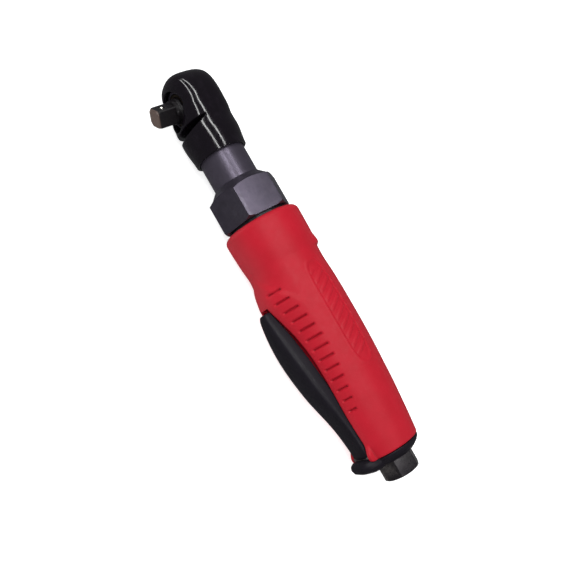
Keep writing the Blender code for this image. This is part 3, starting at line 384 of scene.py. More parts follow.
def make_materials():
    made = {}

    grip = Shader("grip_red", (0.43, 0.0100, 0.0225), 0.5, shine=0.18)
    grip.tint(grip.span(grip.noise(9 * MM, 4), 0.3, 0.75, 0.0, 0.5), (0.34, 0.0075, 0.0150))
    grip.tint(grip.span(grip.noise(0.9 * MM, 2), 0.55, 0.85, 0.0, 0.25), (0.48, 0.026, 0.044))
    # Painted shade: the grooves, the lever well and the grip's other hollows are darkened in the
    # colour, where shade would fall.
    painted_hollow_shade = grip.node("ShaderNodeNewGeometry").outputs["Pointiness"]
    grip.tint(grip.span(painted_hollow_shade, 0.485, 0.44, 0.0, 0.75), (0.16, 0.0030, 0.0080))
    grip.gloss(grip.noise(2.5 * MM, 4), 0.40, 0.56)
    grip.relief(grip.noise(0.35 * MM, 3), 0.020 * MM, 0.7)
    grip.relief(grip.noise(7 * MM, 2), 0.06 * MM, 0.3)
    made["red_grip"] = grip.material

    boot = Shader("boot_rubber", (0.0040, 0.0026, 0.0046), 0.12, shine=0.55)
    boot.tint(boot.span(boot.noise(4 * MM, 4), 0.5, 0.85, 0.0, 0.6), (0.011, 0.008, 0.0125))
    boot.gloss(boot.noise(1.8 * MM, 4), 0.06, 0.17)
    boot.relief(boot.noise(5 * MM, 2), 0.10 * MM, 0.35)
    boot.relief(boot.noise(0.5 * MM, 2), 0.006 * MM, 0.5)
    made["black_rubber"] = boot.material

    plastic = Shader("black_moulding", (0.0095, 0.0078, 0.0118), 0.5, shine=0.2)
    plastic.tint(plastic.span(plastic.noise(6 * MM, 4), 0.35, 0.75, 0.0, 0.6),
                 (0.0062, 0.0051, 0.0076))
    plastic.gloss(plastic.noise(1.2 * MM, 3), 0.36, 0.52)
    plastic.relief(plastic.noise(0.28 * MM, 3), 0.018 * MM, 0.7)
    made["black_plastic"] = plastic.material

    steel = Shader("gunmetal", (0.110, 0.096, 0.130), 0.33, 0.85)
    steel.tint(steel.span(steel.noise(5 * MM, 5), 0.35, 0.75, 0.0, 0.55), (0.058, 0.050, 0.068))
    steel.worn_edges((0.30, 0.29, 0.32), amount=0.15)
    steel.gloss(steel.noise(1.6 * MM, 4), 0.30, 0.46)
    steel.relief(steel.noise(0.22 * MM, 3), 0.010 * MM, 0.6)
    made["dark_steel"] = steel.material

    turned = Shader("gunmetal_turned", (0.115, 0.100, 0.135), 0.36, 0.75)
    turned.tint(turned.span(turned.noise(6 * MM, 5), 0.35, 0.75, 0.0, 0.5),
                (0.080, 0.070, 0.094))
    turned.worn_edges((0.28, 0.27, 0.30))
    turned.gloss(turned.noise(1.5 * MM, 4), 0.28, 0.42)
    turned.relief(turned.noise(0.25 * MM, 2, stretch=(1, 0.03, 0.03)), 0.010 * MM, 0.5)
    made["turned_steel"] = turned.material

    oxide = Shader("black_oxide", (0.022, 0.019, 0.022), 0.34, 0.55)
    oxide.tint(oxide.span(oxide.noise(2.5 * MM, 5), 0.45, 0.8, 0.0, 0.6), (0.040, 0.035, 0.038))
    oxide.worn_edges((0.22, 0.20, 0.19))
    oxide.gloss(oxide.noise(1.0 * MM, 4), 0.24, 0.42)
    oxide.relief(oxide.noise(0.2 * MM, 3), 0.010 * MM, 0.6)
    made["black_oxide"] = oxide.material

    bright = Shader("ground_steel", (0.56, 0.55, 0.54), 0.24, 1.0)
    bright.tint(bright.span(bright.noise(2 * MM, 5), 0.45, 0.8, 0.0, 0.6), (0.40, 0.39, 0.38))
    bright.gloss(bright.noise(0.8 * MM, 4), 0.16, 0.34)
    bright.relief(bright.noise(0.15 * MM, 3), 0.004 * MM, 0.6)
    made["bright_steel"] = bright.material

    alloy = Shader("machined_alloy", (0.60, 0.60, 0.62), 0.38, 1.0)
    alloy.tint(alloy.span(alloy.noise(3 * MM, 5), 0.45, 0.8, 0.0, 0.6), (0.46, 0.46, 0.48))
    alloy.gloss(alloy.noise(1 * MM, 4), 0.28, 0.46)
    alloy.relief(alloy.noise(0.2 * MM, 2, stretch=(1, 0.04, 0.04)), 0.010 * MM, 0.6)
    made["aluminium"] = alloy.material

    anodised = Shader("anodised_alloy", (0.020, 0.019, 0.022), 0.42, 0.5)
    anodised.tint(anodised.span(anodised.noise(3 * MM, 5), 0.45, 0.8, 0.0, 0.6),
                  (0.032, 0.030, 0.034))
    anodised.gloss(anodised.noise(1 * MM, 4), 0.34, 0.5)
    anodised.relief(anodised.noise(0.2 * MM, 2, stretch=(1, 0.04, 0.04)), 0.010 * MM, 0.6)
    made["anodised"] = anodised.material

    bronze = Shader("dark_bronze", (0.060, 0.040, 0.024), 0.4, 0.9)
    bronze.tint(bronze.span(bronze.noise(2 * MM, 5), 0.4, 0.8, 0.0, 0.7), (0.030, 0.022, 0.016))
    bronze.gloss(bronze.noise(0.8 * MM, 4), 0.32, 0.5)
    bronze.relief(bronze.noise(0.15 * MM, 3), 0.006 * MM, 0.6)
    made["bronze"] = bronze.material

    brass = Shader("turned_brass", (0.44, 0.28, 0.10), 0.34, 1.0)
    brass.tint(brass.span(brass.noise(2 * MM, 5), 0.4, 0.8, 0.0, 0.7), (0.24, 0.14, 0.055))
    brass.gloss(brass.noise(0.8 * MM, 4), 0.26, 0.46)
    brass.relief(brass.noise(0.15 * MM, 3), 0.006 * MM, 0.6)
    made["brass"] = brass.material

    resin = Shader("vane_resin", (0.16, 0.07, 0.03), 0.6)
    resin.tint(resin.span(resin.noise(0.8 * MM, 4, stretch=(0.2, 1, 1)), 0.4, 0.7, 0.0, 0.8),
               (0.10, 0.04, 0.018))
    resin.gloss(resin.noise(1 * MM, 3), 0.5, 0.7)
    resin.relief(resin.noise(0.2 * MM, 2), 0.01 * MM, 0.6)
    made["vane_resin"] = resin.material

    felt = Shader("pressed_felt", (0.25, 0.24, 0.22), 0.95)
    felt.tint(felt.span(felt.noise(0.6 * MM, 5), 0.4, 0.65, 0.0, 0.8), (0.15, 0.145, 0.13))
    felt.gloss(felt.noise(1 * MM, 3), 0.85, 1.0)
    felt.relief(felt.cells(0.5 * MM), 0.12 * MM, 0.8)
    made["felt"] = felt.material
    return made


MATERIALS = make_materials()


def floor_material():
    floor = Shader("pale_floor", (0.62, 0.62, 0.62), 0.7)
    floor.tint(floor.span(floor.noise(0.2, 4), 0.3, 0.8, 0.0, 0.3), (0.60, 0.60, 0.605))
    floor.gloss(floor.noise(0.05, 3), 0.6, 0.75)
    glow = floor.span(floor.noise(0.3, 2), 0.3, 0.7, 0.76, 0.80)
    floor.shader.inputs["Emission Color"].default_value = (1, 1, 1, 1)
    floor.join(glow, floor.shader.inputs["Emission Strength"])
    return floor.material


# The head's outer form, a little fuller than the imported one


TIP_GROWTH = 0.9 * MM
HEAD_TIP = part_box("protective_boot")[0].x - TIP_GROWTH
WAIST = in_mm((-2, 17.1), (8, 16.9), (15, 15.8), (21, 16.3), (33, 15.4))
FRONT = in_mm((0, 12.6), (6, 14.0), (11.8, 15.2), (18.5, 16.2), (33, 15.2))
REAR = in_mm((-16, 14.8), (4, 15.2), (12, 15.7), (20, 16.4), (33, 15.1))
FRONT_SQUARENESS = [(2 * MM, 2.7), (19 * MM, 2.1), (33 * MM, 2.0)]
REAR_SQUARENESS = [(2 * MM, 3.0), (20 * MM, 2.1), (33 * MM, 2.0)]
BOOT_WALL = 1.7 * MM
NOTCH_WALL = 12.1 * MM
NOTCH_FLOOR = 4.4 * MM
NOTCH_FOOT = 12.9 * MM
NOTCH_LEAN = math.radians(71)
FRONT_OPENING = 11.0 * MM
REAR_OPENING = 12.0 * MM
BEYOND = 30 * MM
BOOT_VOXEL = 0.32 * MM
BOOT_SOFTENING = 7


def head_section(x, inset, count):
    """The head's outline across the tool at one station, shrunk by inset all round."""
    dome = 1.0
    flatness = 1.0
    if x < 0:
        share = min(0.99999, x / (HEAD_TIP + inset))
        dome = (1 - share**2.25) ** 0.45
        flatness = (1 - share**5) ** 0.4
    width = (follow(x, WAIST) - inset) * dome
    front = (follow(x, FRONT) - inset) * flatness
    rear = (follow(x, REAR) - inset) * flatness
    points = []
    for i in range(count):
        angle = 2 * math.pi * i / count
        c = math.cos(angle)
        s = math.sin(angle)
        power = 2 / follow(x, FRONT_SQUARENESS if c > 0 else REAR_SQUARENESS)
        depth = math.copysign(abs(c) ** power, c) * (front if c > 0 else rear)
        side = math.copysign(abs(s) ** power, s) * width
        points.append(tool_point(x, depth, side))
    return points


def head_form(name, inset, end, count=96):
    tip = HEAD_TIP + inset
    stations = [tip * math.cos(a) for a in spread(0.01, math.pi / 2, 26)]
    stations += spread(0.8 * MM, end, 44)
    return rows_mesh(name, [head_section(x, inset, count) for x in stations], ends=True)


def notch_cutter(name, inset):
    """The V across the front between the head and the neck, moved into the metal by inset."""
    slide = inset / math.sin(NOTCH_LEAN)
    floor = NOTCH_FLOOR - inset
    top = BEYOND
    foot = NOTCH_FOOT + slide - inset / math.tan(NOTCH_LEAN)
    outline = [
        (NOTCH_WALL - inset, top), (NOTCH_WALL - inset, floor), (foot, floor),
        (foot + (top - floor) / math.tan(NOTCH_LEAN), top),
    ]
    rows = [[tool_point(x, depth, side) for x, depth in outline] for side in (-BEYOND, BEYOND)]
    return rows_mesh(name, rows, ends=True)


def boot():
    """The glossy rubber boot, open in front, behind and at the neck."""
    shell = head_form("boot", 0.0, BOOT_END)
    cavity = head_form("boot_cavity", BOOT_WALL, BOOT_END + 4 * MM)
    cavity = boolean(cavity, [notch_cutter("cavity_notch", BOOT_WALL)])
    outline = [(0.0, FRONT_OPENING), (BEYOND, FRONT_OPENING)]
    front = lathe("front_opening", outline, 96, "drive", False)
    outline = [(-BEYOND, REAR_OPENING), (0.0, REAR_OPENING)]
    rear = lathe("rear_opening", outline, 96, "drive", False)
    shell = boolean(shell, [notch_cutter("notch", 0.0), cavity, front, rear])
    shell = mould(shell, BOOT_VOXEL, BOOT_SOFTENING)
    finish_piece(shell, "boot_moulded", MATERIALS["black_rubber"], "tool_body",
                 ("protective_boot",), 60)


NECK_START = 25.5 * MM
NECK_MOUTH = 9.8 * MM
NECK_BORE = 6.9 * MM
SPIGOT_START = 49.0 * MM
SPIGOT_BORE = 12.6 * MM
FLANGE_START = 53.2 * MM
FLANGE_RADIUS = 15.9 * MM
FLANGE_END = 57.0 * MM


def ratchet_housing():
    """The steel that shows: the neck, and the head's front and back rings in the boot."""
    neck = [
        (NECK_START, NECK_RADIUS), (FLANGE_START, NECK_RADIUS),
        (FLANGE_START + 0.1 * MM, FLANGE_RADIUS), (FLANGE_END, FLANGE_RADIUS),
        (FLANGE_END, SPIGOT_BORE), (SPIGOT_START, SPIGOT_BORE), (SPIGOT_START, NECK_BORE),
        (28 * MM, NECK_BORE), (27 * MM, NECK_MOUTH), (NECK_START, NECK_MOUTH),
    ]
    piece = lathe("neck", fillet(neck, 0.4 * MM))
    finish_piece(piece, "neck_turned", MATERIALS["turned_steel"], "tool_body",
                 ("ratchet_housing",))
    # The rings' outlines are (depth, radius).
    front = in_mm((9.6, 9.2), (9.3, 10.9), (7.5, 11.0), (5.0, 11.0), (5.0, 9.2))
    ring = lathe("front_ring", fillet(front, 0.35 * MM), 96, "drive")
    finish_piece(ring, "head_front_ring", MATERIALS["dark_steel"], "tool_body",
                 ("ratchet_housing",))
    rear = in_mm((-11.0, 11.7), (-11.0, 12.9), (-8.0, 13.2), (-5.0, 13.2), (-5.0, 11.7))
    ring = lathe("rear_ring", fillet(rear, 0.3 * MM), 96, "drive")
    finish_piece(ring, "head_rear_ring", MATERIALS["dark_steel"], "tool_body",
                 ("ratchet_housing",))


def hexagon(across_flats, turn):
    corner = across_flats / math.sqrt(3)
    return [
        (corner * math.cos(turn + i * math.pi / 3), corner * math.sin(turn + i * math.pi / 3))
        for i in range(6)
    ]


NUT_LIP_END = 53.0 * MM
NUT_LIP_BORE = NECK_RADIUS + 0.3 * MM
NUT_BORE = 16.6 * MM


def collar_nut():
    """The hexagonal nut, with a lip that holds the neck's flange."""
    edge = NUT_ACROSS_FLATS / math.sqrt(3)
    nut = prism("nut", hexagon(NUT_ACROSS_FLATS, NUT_TURN), NUT_START - 1 * MM, NUT_END + 1 * MM)
    envelope = lathe("nut_envelope", [
        (NUT_START, NECK_RADIUS + 0.7 * MM), (50.4 * MM, 17.5 * MM), (52.6 * MM, edge),
        (69.0 * MM, edge), (NUT_END, edge - 1.7 * MM),
    ], 144, closed=False)
    nut = boolean(nut, [envelope], "INTERSECT")
    bore = lathe("nut_bore", [
        (NUT_START - 2 * MM, NUT_LIP_BORE), (NUT_LIP_END, NUT_LIP_BORE),
        (NUT_LIP_END, NUT_BORE), (NUT_END + 2 * MM, NUT_BORE),
    ], 96, closed=False)
    nut = boolean(nut, [bore])
    nut = bevel(nut, 0.3 * MM, 3, 14)
    finish_piece(nut, "collar_nut_forged", MATERIALS["dark_steel"], "tool_body",
                 ("collar_nut",), 40)


# The grip


GRIP_BACK = in_mm((72.1, 22.15), (80, 22.1), (90, 21.9), (94, 21.5), (98, 20.9), (105, 20.7),
                  (116, 21.3), (128, 21.5), (148, 21.45), (160, 21.1), (170, 20.6),
                  (181, 20.0), (192, 19.1), (203, 18.1), (210.3, 17.3))
GRIP_FRONT = in_mm((72.1, 22.4), (78, 22.3), (86, 21.7), (96, 20.8), (103, 21.7), (109, 23.2),
                   (115, 24.2), (121, 23.9), (128, 23.2), (146, 21.7), (160, 21.1),
                   (181, 20.0), (203, 18.2), (210.3, 17.5))
LEVER_WIDTH = in_mm((114, 2.8), (117, 3.7), (120, 4.5), (127, 6.3), (136, 8.1), (150, 9.4),
                    (160, 9.4), (170, 9.0), (185, 7.9), (200, 7.2), (208, 6.7), (214, 6.5))
BULGE_REACH = math.radians(56)
RIM = 3.4 * MM
WELL_START = 115.5 * MM
WELL_FLOOR = in_mm((115, 17.95), (152, 17.9), (175, 16.4), (190, 15.2), (198, 14.4), (214, 14.2))
WELL_GAP = 0.45 * MM
WELL_LIP = 0.55 * MM
GROOVES = 13
GROOVE_FIRST = 110.2 * MM
GROOVE_PITCH = 5.96 * MM
GROOVE_FROM = in_mm((110, 17), (122, 26), (134, 31), (146, 34), (161, 34.5), (182, 34))
GROOVE_TO = in_mm((110, 39), (122, 50), (134, 57), (146, 60), (161, 57), (182, 48))
GROOVE_HALF_WIDTH = 0.85 * MM
GROOVE_DEPTH = 1.1 * MM
GROOVES_END = GROOVE_FIRST + GROOVES * GROOVE_PITCH
PANEL_STATION = 134 * MM
PANEL_ANGLE = math.radians(99)
PANEL_HALF_LENGTH = 30 * MM
PANEL_HALF_ANGLE = math.radians(16)
PANEL_RELIEF = 0.22 * MM
RIB_PITCH = 5.4 * MM
RIB_SLANT = 14 * MM
RIB_HEIGHT = 0.34 * MM
FIELD_RISE = 0.75 * MM
STEP_RISE = 1.3 * MM
FIELD_START = 94 * MM
STEP_START = 90 * MM
STEP_CREST = 96.4 * MM
PIN_RADIUS = 1.05 * MM
EAR_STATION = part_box("lever_pin")[0].x + PIN_RADIUS - BODY_SHIFT
EAR_RISE = 3.0 * MM


def edge_drop(distance, radius):
    """How far a rounded edge has fallen at a distance in from its end."""
    if distance >= radius:
        return 0.0
    away = radius - max(0.0, distance)
    return radius - math.sqrt(max(0.0, radius * radius - away * away))


def groove_depth(x, angle):
    """The transverse finger grooves on each side of the lever."""
    nearest = round((x - GROOVE_FIRST) / GROOVE_PITCH)
    if nearest < 0 or nearest >= GROOVES:
        return 0.0
    middle = GROOVE_FIRST + nearest * GROOVE_PITCH
    across = abs(x - middle) / GROOVE_HALF_WIDTH
    if across >= 1:
        return 0.0
    low = math.radians(curve_through(middle, GROOVE_FROM) / MM)
    high = math.radians(curve_through(middle, GROOVE_TO) / MM)
    inside = min(angle - low, high - angle)
    fade = smooth(-0.02, 0.045, inside)
    return GROOVE_DEPTH * fade * (1 - across**2)


def panel_relief(x, angle):
    """A plain oblong badge: a fine raised border round a panel of small slanted ribs."""
    along = (x - PANEL_STATION) / PANEL_HALF_LENGTH
    across = (angle - PANEL_ANGLE) / PANEL_HALF_ANGLE
    if abs(along) > 1.2 or abs(across) > 1.4:
        return 0.0
    reach = (abs(along) ** 5 + abs(across) ** 3.2) ** 0.25
    border = math.exp(-(((reach - 1.0) / 0.045) ** 2))
    inner = 1 - smooth(0.90, 0.97, reach)
    slant = (x + (angle - PANEL_ANGLE) * RIB_SLANT) / RIB_PITCH
    rib = 0.5 + 0.5 * math.cos(2 * math.pi * slant)
    ribs = smooth(0.55, 0.8, rib) * (1 - smooth(0.55, 0.72, abs(across) ** 1.5))
    ribs *= 1 - smooth(0.78, 0.86, abs(along))
    return PANEL_RELIEF * border - PANEL_RELIEF * inner + RIB_HEIGHT * ribs * inner


def grip_radius(x, angle):
    """The grip's outside, before its lever well is cut. Angle runs from 0 to pi."""
    share = 0.5 + 0.5 * math.cos(math.pi * min(1.0, angle / BULGE_REACH))
    back = curve_through(x, GRIP_BACK)
    radius = back + (curve_through(x, GRIP_FRONT) - back) * share
    # The raised field that carries the grooves starts along a soft diagonal crease.
    limit = math.radians(62) * smooth(FIELD_START, 126 * MM, x) + math.radians(2)
    field = 1 - smooth(limit - 0.11, limit + 0.11, angle)
    field *= smooth(FIELD_START, 106 * MM, x) * (1 - smooth(110 * MM, 145 * MM, x))
    radius += FIELD_RISE * field
    # A small step across the back, where the collar part ends.
    behind = smooth(math.radians(118), math.radians(140), angle)
    ramp = smooth(STEP_START, STEP_CREST, x)
    radius += behind * STEP_RISE * ramp * (1 - smooth(96.6 * MM, 98.4 * MM, x))
    radius -= edge_drop(x - GRIP_START, RIM)
    radius -= edge_drop(GRIP_END - x, 0.9 * MM)
    radius -= groove_depth(x, angle)
    radius += panel_relief(x, angle)
    return radius


def ear_height(x, away):
    """How far the ears stand out beside the lever's end. away is measured from the well."""
    along = (x - EAR_STATION) / (3.3 * MM)
    if along < -2.2 or along > 1.0:
        return 0.0
    if along < 0:
        crest = 1 - smooth(0.0, 2.2, -along)
    else:
        crest = math.sqrt(max(0.0, 1 - along**2))
    return crest * (1 - smooth(1.5 * MM, 3.0 * MM, away))


def well_half_width(x):
    return curve_through(x, LEVER_WIDTH) + WELL_GAP


def well_half_angle(x):
    """The angle at which the well's wall meets the grip's outside."""
    return math.asin(min(0.9, well_half_width(x) / curve_through(x, GRIP_FRONT)))


def grip_row(x):
    """One outer row of the grip, from straight in front round to the back and round again."""
    wall = well_half_angle(x)
    radius = grip_radius(x, wall)
    open_well = x > WELL_START
    floor_radius = follow(x, WELL_FLOOR)
    half_width = well_half_width(x)
    foot = math.asin(half_width / floor_radius)
    foot_depth = floor_radius * math.cos(foot)
    half = []
    for i in range(8):
        if open_well:
            half.append((floor_radius, foot * i / 7))
        else:
            angle = wall * 0.97 * i / 7
            half.append((grip_radius(x, angle), angle))
    outward = [(0.0, 0.75), (0.0, 0.45), (0.12, 0.0), (0.3, 0.0), (0.55, 0.0), (0.9, 0.0)]
    for distance, fall in outward:
        away = distance * MM
        angle = wall + away / radius
        place = grip_radius(x, angle) + EAR_RISE * ear_height(x, away)
        if open_well:
            place -= edge_drop(away, WELL_LIP)
        if open_well and fall:
            lip_depth = place * math.cos(angle)
            depth = lip_depth - fall * (lip_depth - foot_depth)
            place = math.hypot(depth, half_width)
            angle = math.atan2(half_width, depth)
        half.append((place, angle))
    first = wall + 1.25 * MM / radius
    for i in range(128):
        angle = first + (math.pi - first) * i / 127
        away = (angle - wall) * radius
        half.append((grip_radius(x, angle) + EAR_RISE * ear_height(x, away), angle))
    upper = [polar(x, r, a) for r, a in half]
    lower = [polar(x, r, -a) for r, a in half[1:-1]]
    return upper + lower[::-1]


def grip_bore_radius(x):
    return max(13.6 * MM, min(17.6 * MM, (17.6 - (x / MM - 150) * 4.0 / 46) * MM))


def grip():
    """The moulded grip: grooves, crease, badge panel, lever well and ears in one skin."""
    stations = [GRIP_START + RIM * (1 - math.cos(a)) for a in spread(0, math.pi / 2, 9)]
    stations += spread(stations[-1] + 0.5 * MM, WELL_START - 0.3 * MM, 84)
    stations += [WELL_START - 0.05 * MM, WELL_START + 0.05 * MM, WELL_START + 0.4 * MM]
    stations += spread(WELL_START + 0.7 * MM, GROOVES_END, 200)
    stations += spread(GROOVES_END + 0.6 * MM, GRIP_END - 1.3 * MM, 44)
    stations += [GRIP_END - 0.9 * MM * (1 - math.sin(a)) for a in spread(0, math.pi / 2, 5)]
    rows = [grip_row(x) for x in stations]
    count = len(rows[0])
    for x in (GRIP_END, 200 * MM, 196 * MM, 150 * MM, GRIP_START):
        inside = grip_bore_radius(x)
        ring = []
        for i in range(count):
            point = rows[-1][i].copy()
            point.x = x + BODY_SHIFT
            outward = (point - body_point(x)).normalized()
            ring.append(body_point(x) + outward * inside)
        rows.append(ring)
    piece = rows_mesh("grip", rows, loop=True)
    finish_piece(piece, "grip_moulded", MATERIALS["red_grip"], "tool_body",
                 ("grip_sleeve",), 50)


# The lever and the tail


LEVER_CROWN = in_mm((117.3, 28.0), (120, 28.9), (126, 29.5), (133, 29.8), (143, 29.6),
                    (152, 28.7), (160, 27.6), (168, 26.2), (175, 24.4), (183, 22.2), (191, 20.4),
                    (199, 19.4), (205, 19.0), (212, 18.4))
LEVER_UNDER = in_mm((117, 23.9), (150, 22.4), (175, 19.6), (186, 17.6), (200, 16.6), (211, 15.8))
LEVER_SKIRT = in_mm((117, 23.6), (124, 22.9), (130, 22.1), (140, 20.9), (150, 19.8), (160, 18.6),
                    (170, 17.5), (186, 17.0), (200, 16.2), (211, 15.4))
SKIRT_WALL = 1.6 * MM
LEVER_TAIL = LEVER_END - 2.6 * MM


def lever_row(x, shrink):
    """A section of the lever: a low crown, rounded shoulders and a skirt down each side."""
    width = curve_through(x, LEVER_WIDTH) - shrink
    crown = curve_through(x, LEVER_CROWN) - shrink
    under = curve_through(x, LEVER_UNDER) + shrink
    skirt = min(curve_through(x, LEVER_SKIRT) + shrink, under - 0.15 * MM)
    inner = max(0.35, 1 - SKIRT_WALL / width)
    thick = crown - skirt
    points = [body_point(x, under, width * side) for side in (0.0, 0.5 * inner, 0.9 * inner)]
    points += [body_point(x, under - (under - skirt) * 0.15, width * inner)]
    points += [body_point(x, skirt + 0.1 * MM, width * (inner + 0.02))]
    points += [body_point(x, skirt, width * (inner + 1) / 2)]
    points += [body_point(x, skirt + 0.1 * MM, width)]
    for lift, side in ((0.2, 1.0), (0.42, 1.0), (0.60, 0.985), (0.74, 0.93), (0.85, 0.82),
                       (0.93, 0.64), (0.98, 0.40), (1.0, 0.16)):
        points.append(body_point(x, skirt + thick * lift, width * side))
    middle = body_point(x, crown, 0.0)
    mirrored = [Vector((point.x, point.y, -point.z)) for point in reversed(points[1:])]
    return points + [middle] + mirrored


def lever():
    stations = [LEVER_TIP + 0.02 * MM, LEVER_TIP + 0.25 * MM, LEVER_TIP + 0.8 * MM]
    end = LEVER_TAIL
    stations += spread(LEVER_TIP + 2.2 * MM, end - 1.5 * MM, 44)
    stations += [end - 0.7 * MM, end - 0.2 * MM, end]
    shrinks = [0.8 * MM, 0.35 * MM, 0.1 * MM] + [0.0] * 45 + [0.25 * MM, 0.6 * MM]
    rows = [lever_row(x, shrink) for x, shrink in zip(stations, shrinks)]
    piece = rows_mesh("lever", rows, ends=True)
    smoother = piece.modifiers.new("smooth", "SUBSURF")
    smoother.levels = 2
    smoother.render_levels = 2
    piece = apply_modifiers(piece)
    finish_piece(piece, "lever_moulded", MATERIALS["black_plastic"], "lever",
                 ("throttle_lever",), 50)


# (station, nearest depth, furthest depth, half width) of the lobe, in mm
CAP_LOBE = ((207.6, 16, 21.0, 4.6), (208.0, 14.4, 22.6, 6.6), (209.0, 12, 23.8, 8.4),
            (210.6, 7, 24.5, 9.6), (212.8, 5, 23.8, 9.8), (214.6, 6, 21.2, 8.6),
            (216.0, 8, 17.4, 6.0))

# (depth, side) corners of the room that the lobe leaves for the lever's tail
TAIL_POCKET = in_mm((14.2, -7.0), (19.2, -7.0), (19.2, 7.0), (14.2, 7.0))
CAP_BORE = 12.6 * MM
INLET_ROOM = 11.4 * MM
CAP_VOXEL = 0.3 * MM
CAP_SOFTENING = 6


def exhaust_cap():
    """The black end cap, with the rounded lobe that hides the lever's tail."""
    cap = lathe("cap", [
        (CAP_START, 17.0 * MM), (211.8 * MM, 16.7 * MM), (213.4 * MM, 15.4 * MM),
        (215.0 * MM, 13.2 * MM), (216.0 * MM, 11.4 * MM),
    ], 96, closed=False)
    rows = []
    for x, low, high, width in CAP_LOBE:
        middle = (low + high) / 2
        half = (high - low) / 2
        row = []
        for i in range(48):
            angle = 2 * math.pi * i / 48
            c = math.copysign(abs(math.cos(angle)) ** 0.8, math.cos(angle))
            s = math.copysign(abs(math.sin(angle)) ** 0.8, math.sin(angle))
            row.append(body_point(x * MM, (middle + half * c) * MM, width * s * MM))
        rows.append(row)
    lobe = rows_mesh("lobe", rows, ends=True)
    cap = boolean(cap, [lobe], "UNION")
    bore = lathe("cap_bore", [(200 * MM, CAP_BORE), (214.0 * MM, CAP_BORE)], 96, closed=False)
    room = lathe("inlet_room", [(200 * MM, INLET_ROOM), (240 * MM, INLET_ROOM)], 96, closed=False)
    pocket = [
        [body_point(x, depth, side) for depth, side in TAIL_POCKET]
        for x in (204 * MM, LEVER_TAIL + 0.3 * MM)
    ]
    cap = boolean(cap, [bore, room, rows_mesh("tail_pocket", pocket, ends=True)])
    cap = mould(cap, CAP_VOXEL, CAP_SOFTENING)
    finish_piece(cap, "end_cap_moulded", MATERIALS["black_plastic"], "tool_body",
                 ("exhaust_cap",), 60)


THREAD_TURNS = 9
THREAD_START = 210.2 * MM
THREAD_PITCH = 1.41 * MM
THREAD_HEIGHT = 0.62 * MM
SHANK_RADIUS = 6.9 * MM


def inlet():
    """The hexagonal air inlet, with a thread cut in its socket."""
    edge = INLET_ACROSS_FLATS / math.sqrt(3)
    body = prism("inlet", hexagon(INLET_ACROSS_FLATS, NUT_TURN), 212 * MM, INLET_END + 1 * MM)
    envelope = lathe("inlet_envelope", [
        (213.3 * MM, edge - 0.1 * MM), (INLET_END - 2.0 * MM, edge - 0.1 * MM),
        (INLET_END - 1.2 * MM, edge - 0.5 * MM), (INLET_END - 0.4 * MM, edge - 1.5 * MM),
        (INLET_END, edge - 2.7 * MM),
    ], 120, closed=False)
    body = boolean(body, [envelope], "INTERSECT")
    outline = [(201 * MM, SHANK_RADIUS), (214 * MM, SHANK_RADIUS)]
    shank = lathe("inlet_shank", outline, 64, closed=False)
    body = boolean(body, [shank], "UNION")
    socket = lathe("inlet_socket", [
        (199 * MM, 3.6 * MM), (208 * MM, 3.6 * MM), (208.2 * MM, 4.4 * MM),
        (209 * MM, INLET_BORE + 0.35 * MM), (225.0 * MM, INLET_BORE + 0.35 * MM),
        (227 * MM, INLET_BORE + 2.0 * MM),
    ], 72, closed=False)
    body = boolean(body, [socket])
    body = bevel(body, 0.25 * MM, 3, 14)
    finish_piece(body, "inlet_hex", MATERIALS["black_oxide"], "tool_body",
                 ("inlet_bushing",), 40)
    rows = []
    steps = 48
    for i in range(THREAD_TURNS * steps + 1):
        angle = 2 * math.pi * i / steps
        x = THREAD_START + THREAD_PITCH * i / steps
        ends = min(i, THREAD_TURNS * steps - i) / (steps * 0.4)
        crest = THREAD_HEIGHT * min(1.0, ends) + 0.01 * MM
        outer = INLET_BORE + 0.45 * MM
        rows.append([
            polar(x - 0.55 * MM, outer, angle), polar(x - 0.1 * MM, outer - crest, angle),
            polar(x + 0.1 * MM, outer - crest, angle), polar(x + 0.55 * MM, outer, angle),
        ])
    thread = rows_mesh("inlet_thread", rows, ends=True)
    finish_piece(thread, "inlet_thread_form", MATERIALS["black_oxide"], "tool_body",
                 (), 40)


# The drive and the knob


BALL_RADIUS = 1.55 * MM
BALL_HOLE_RADIUS = 1.75 * MM


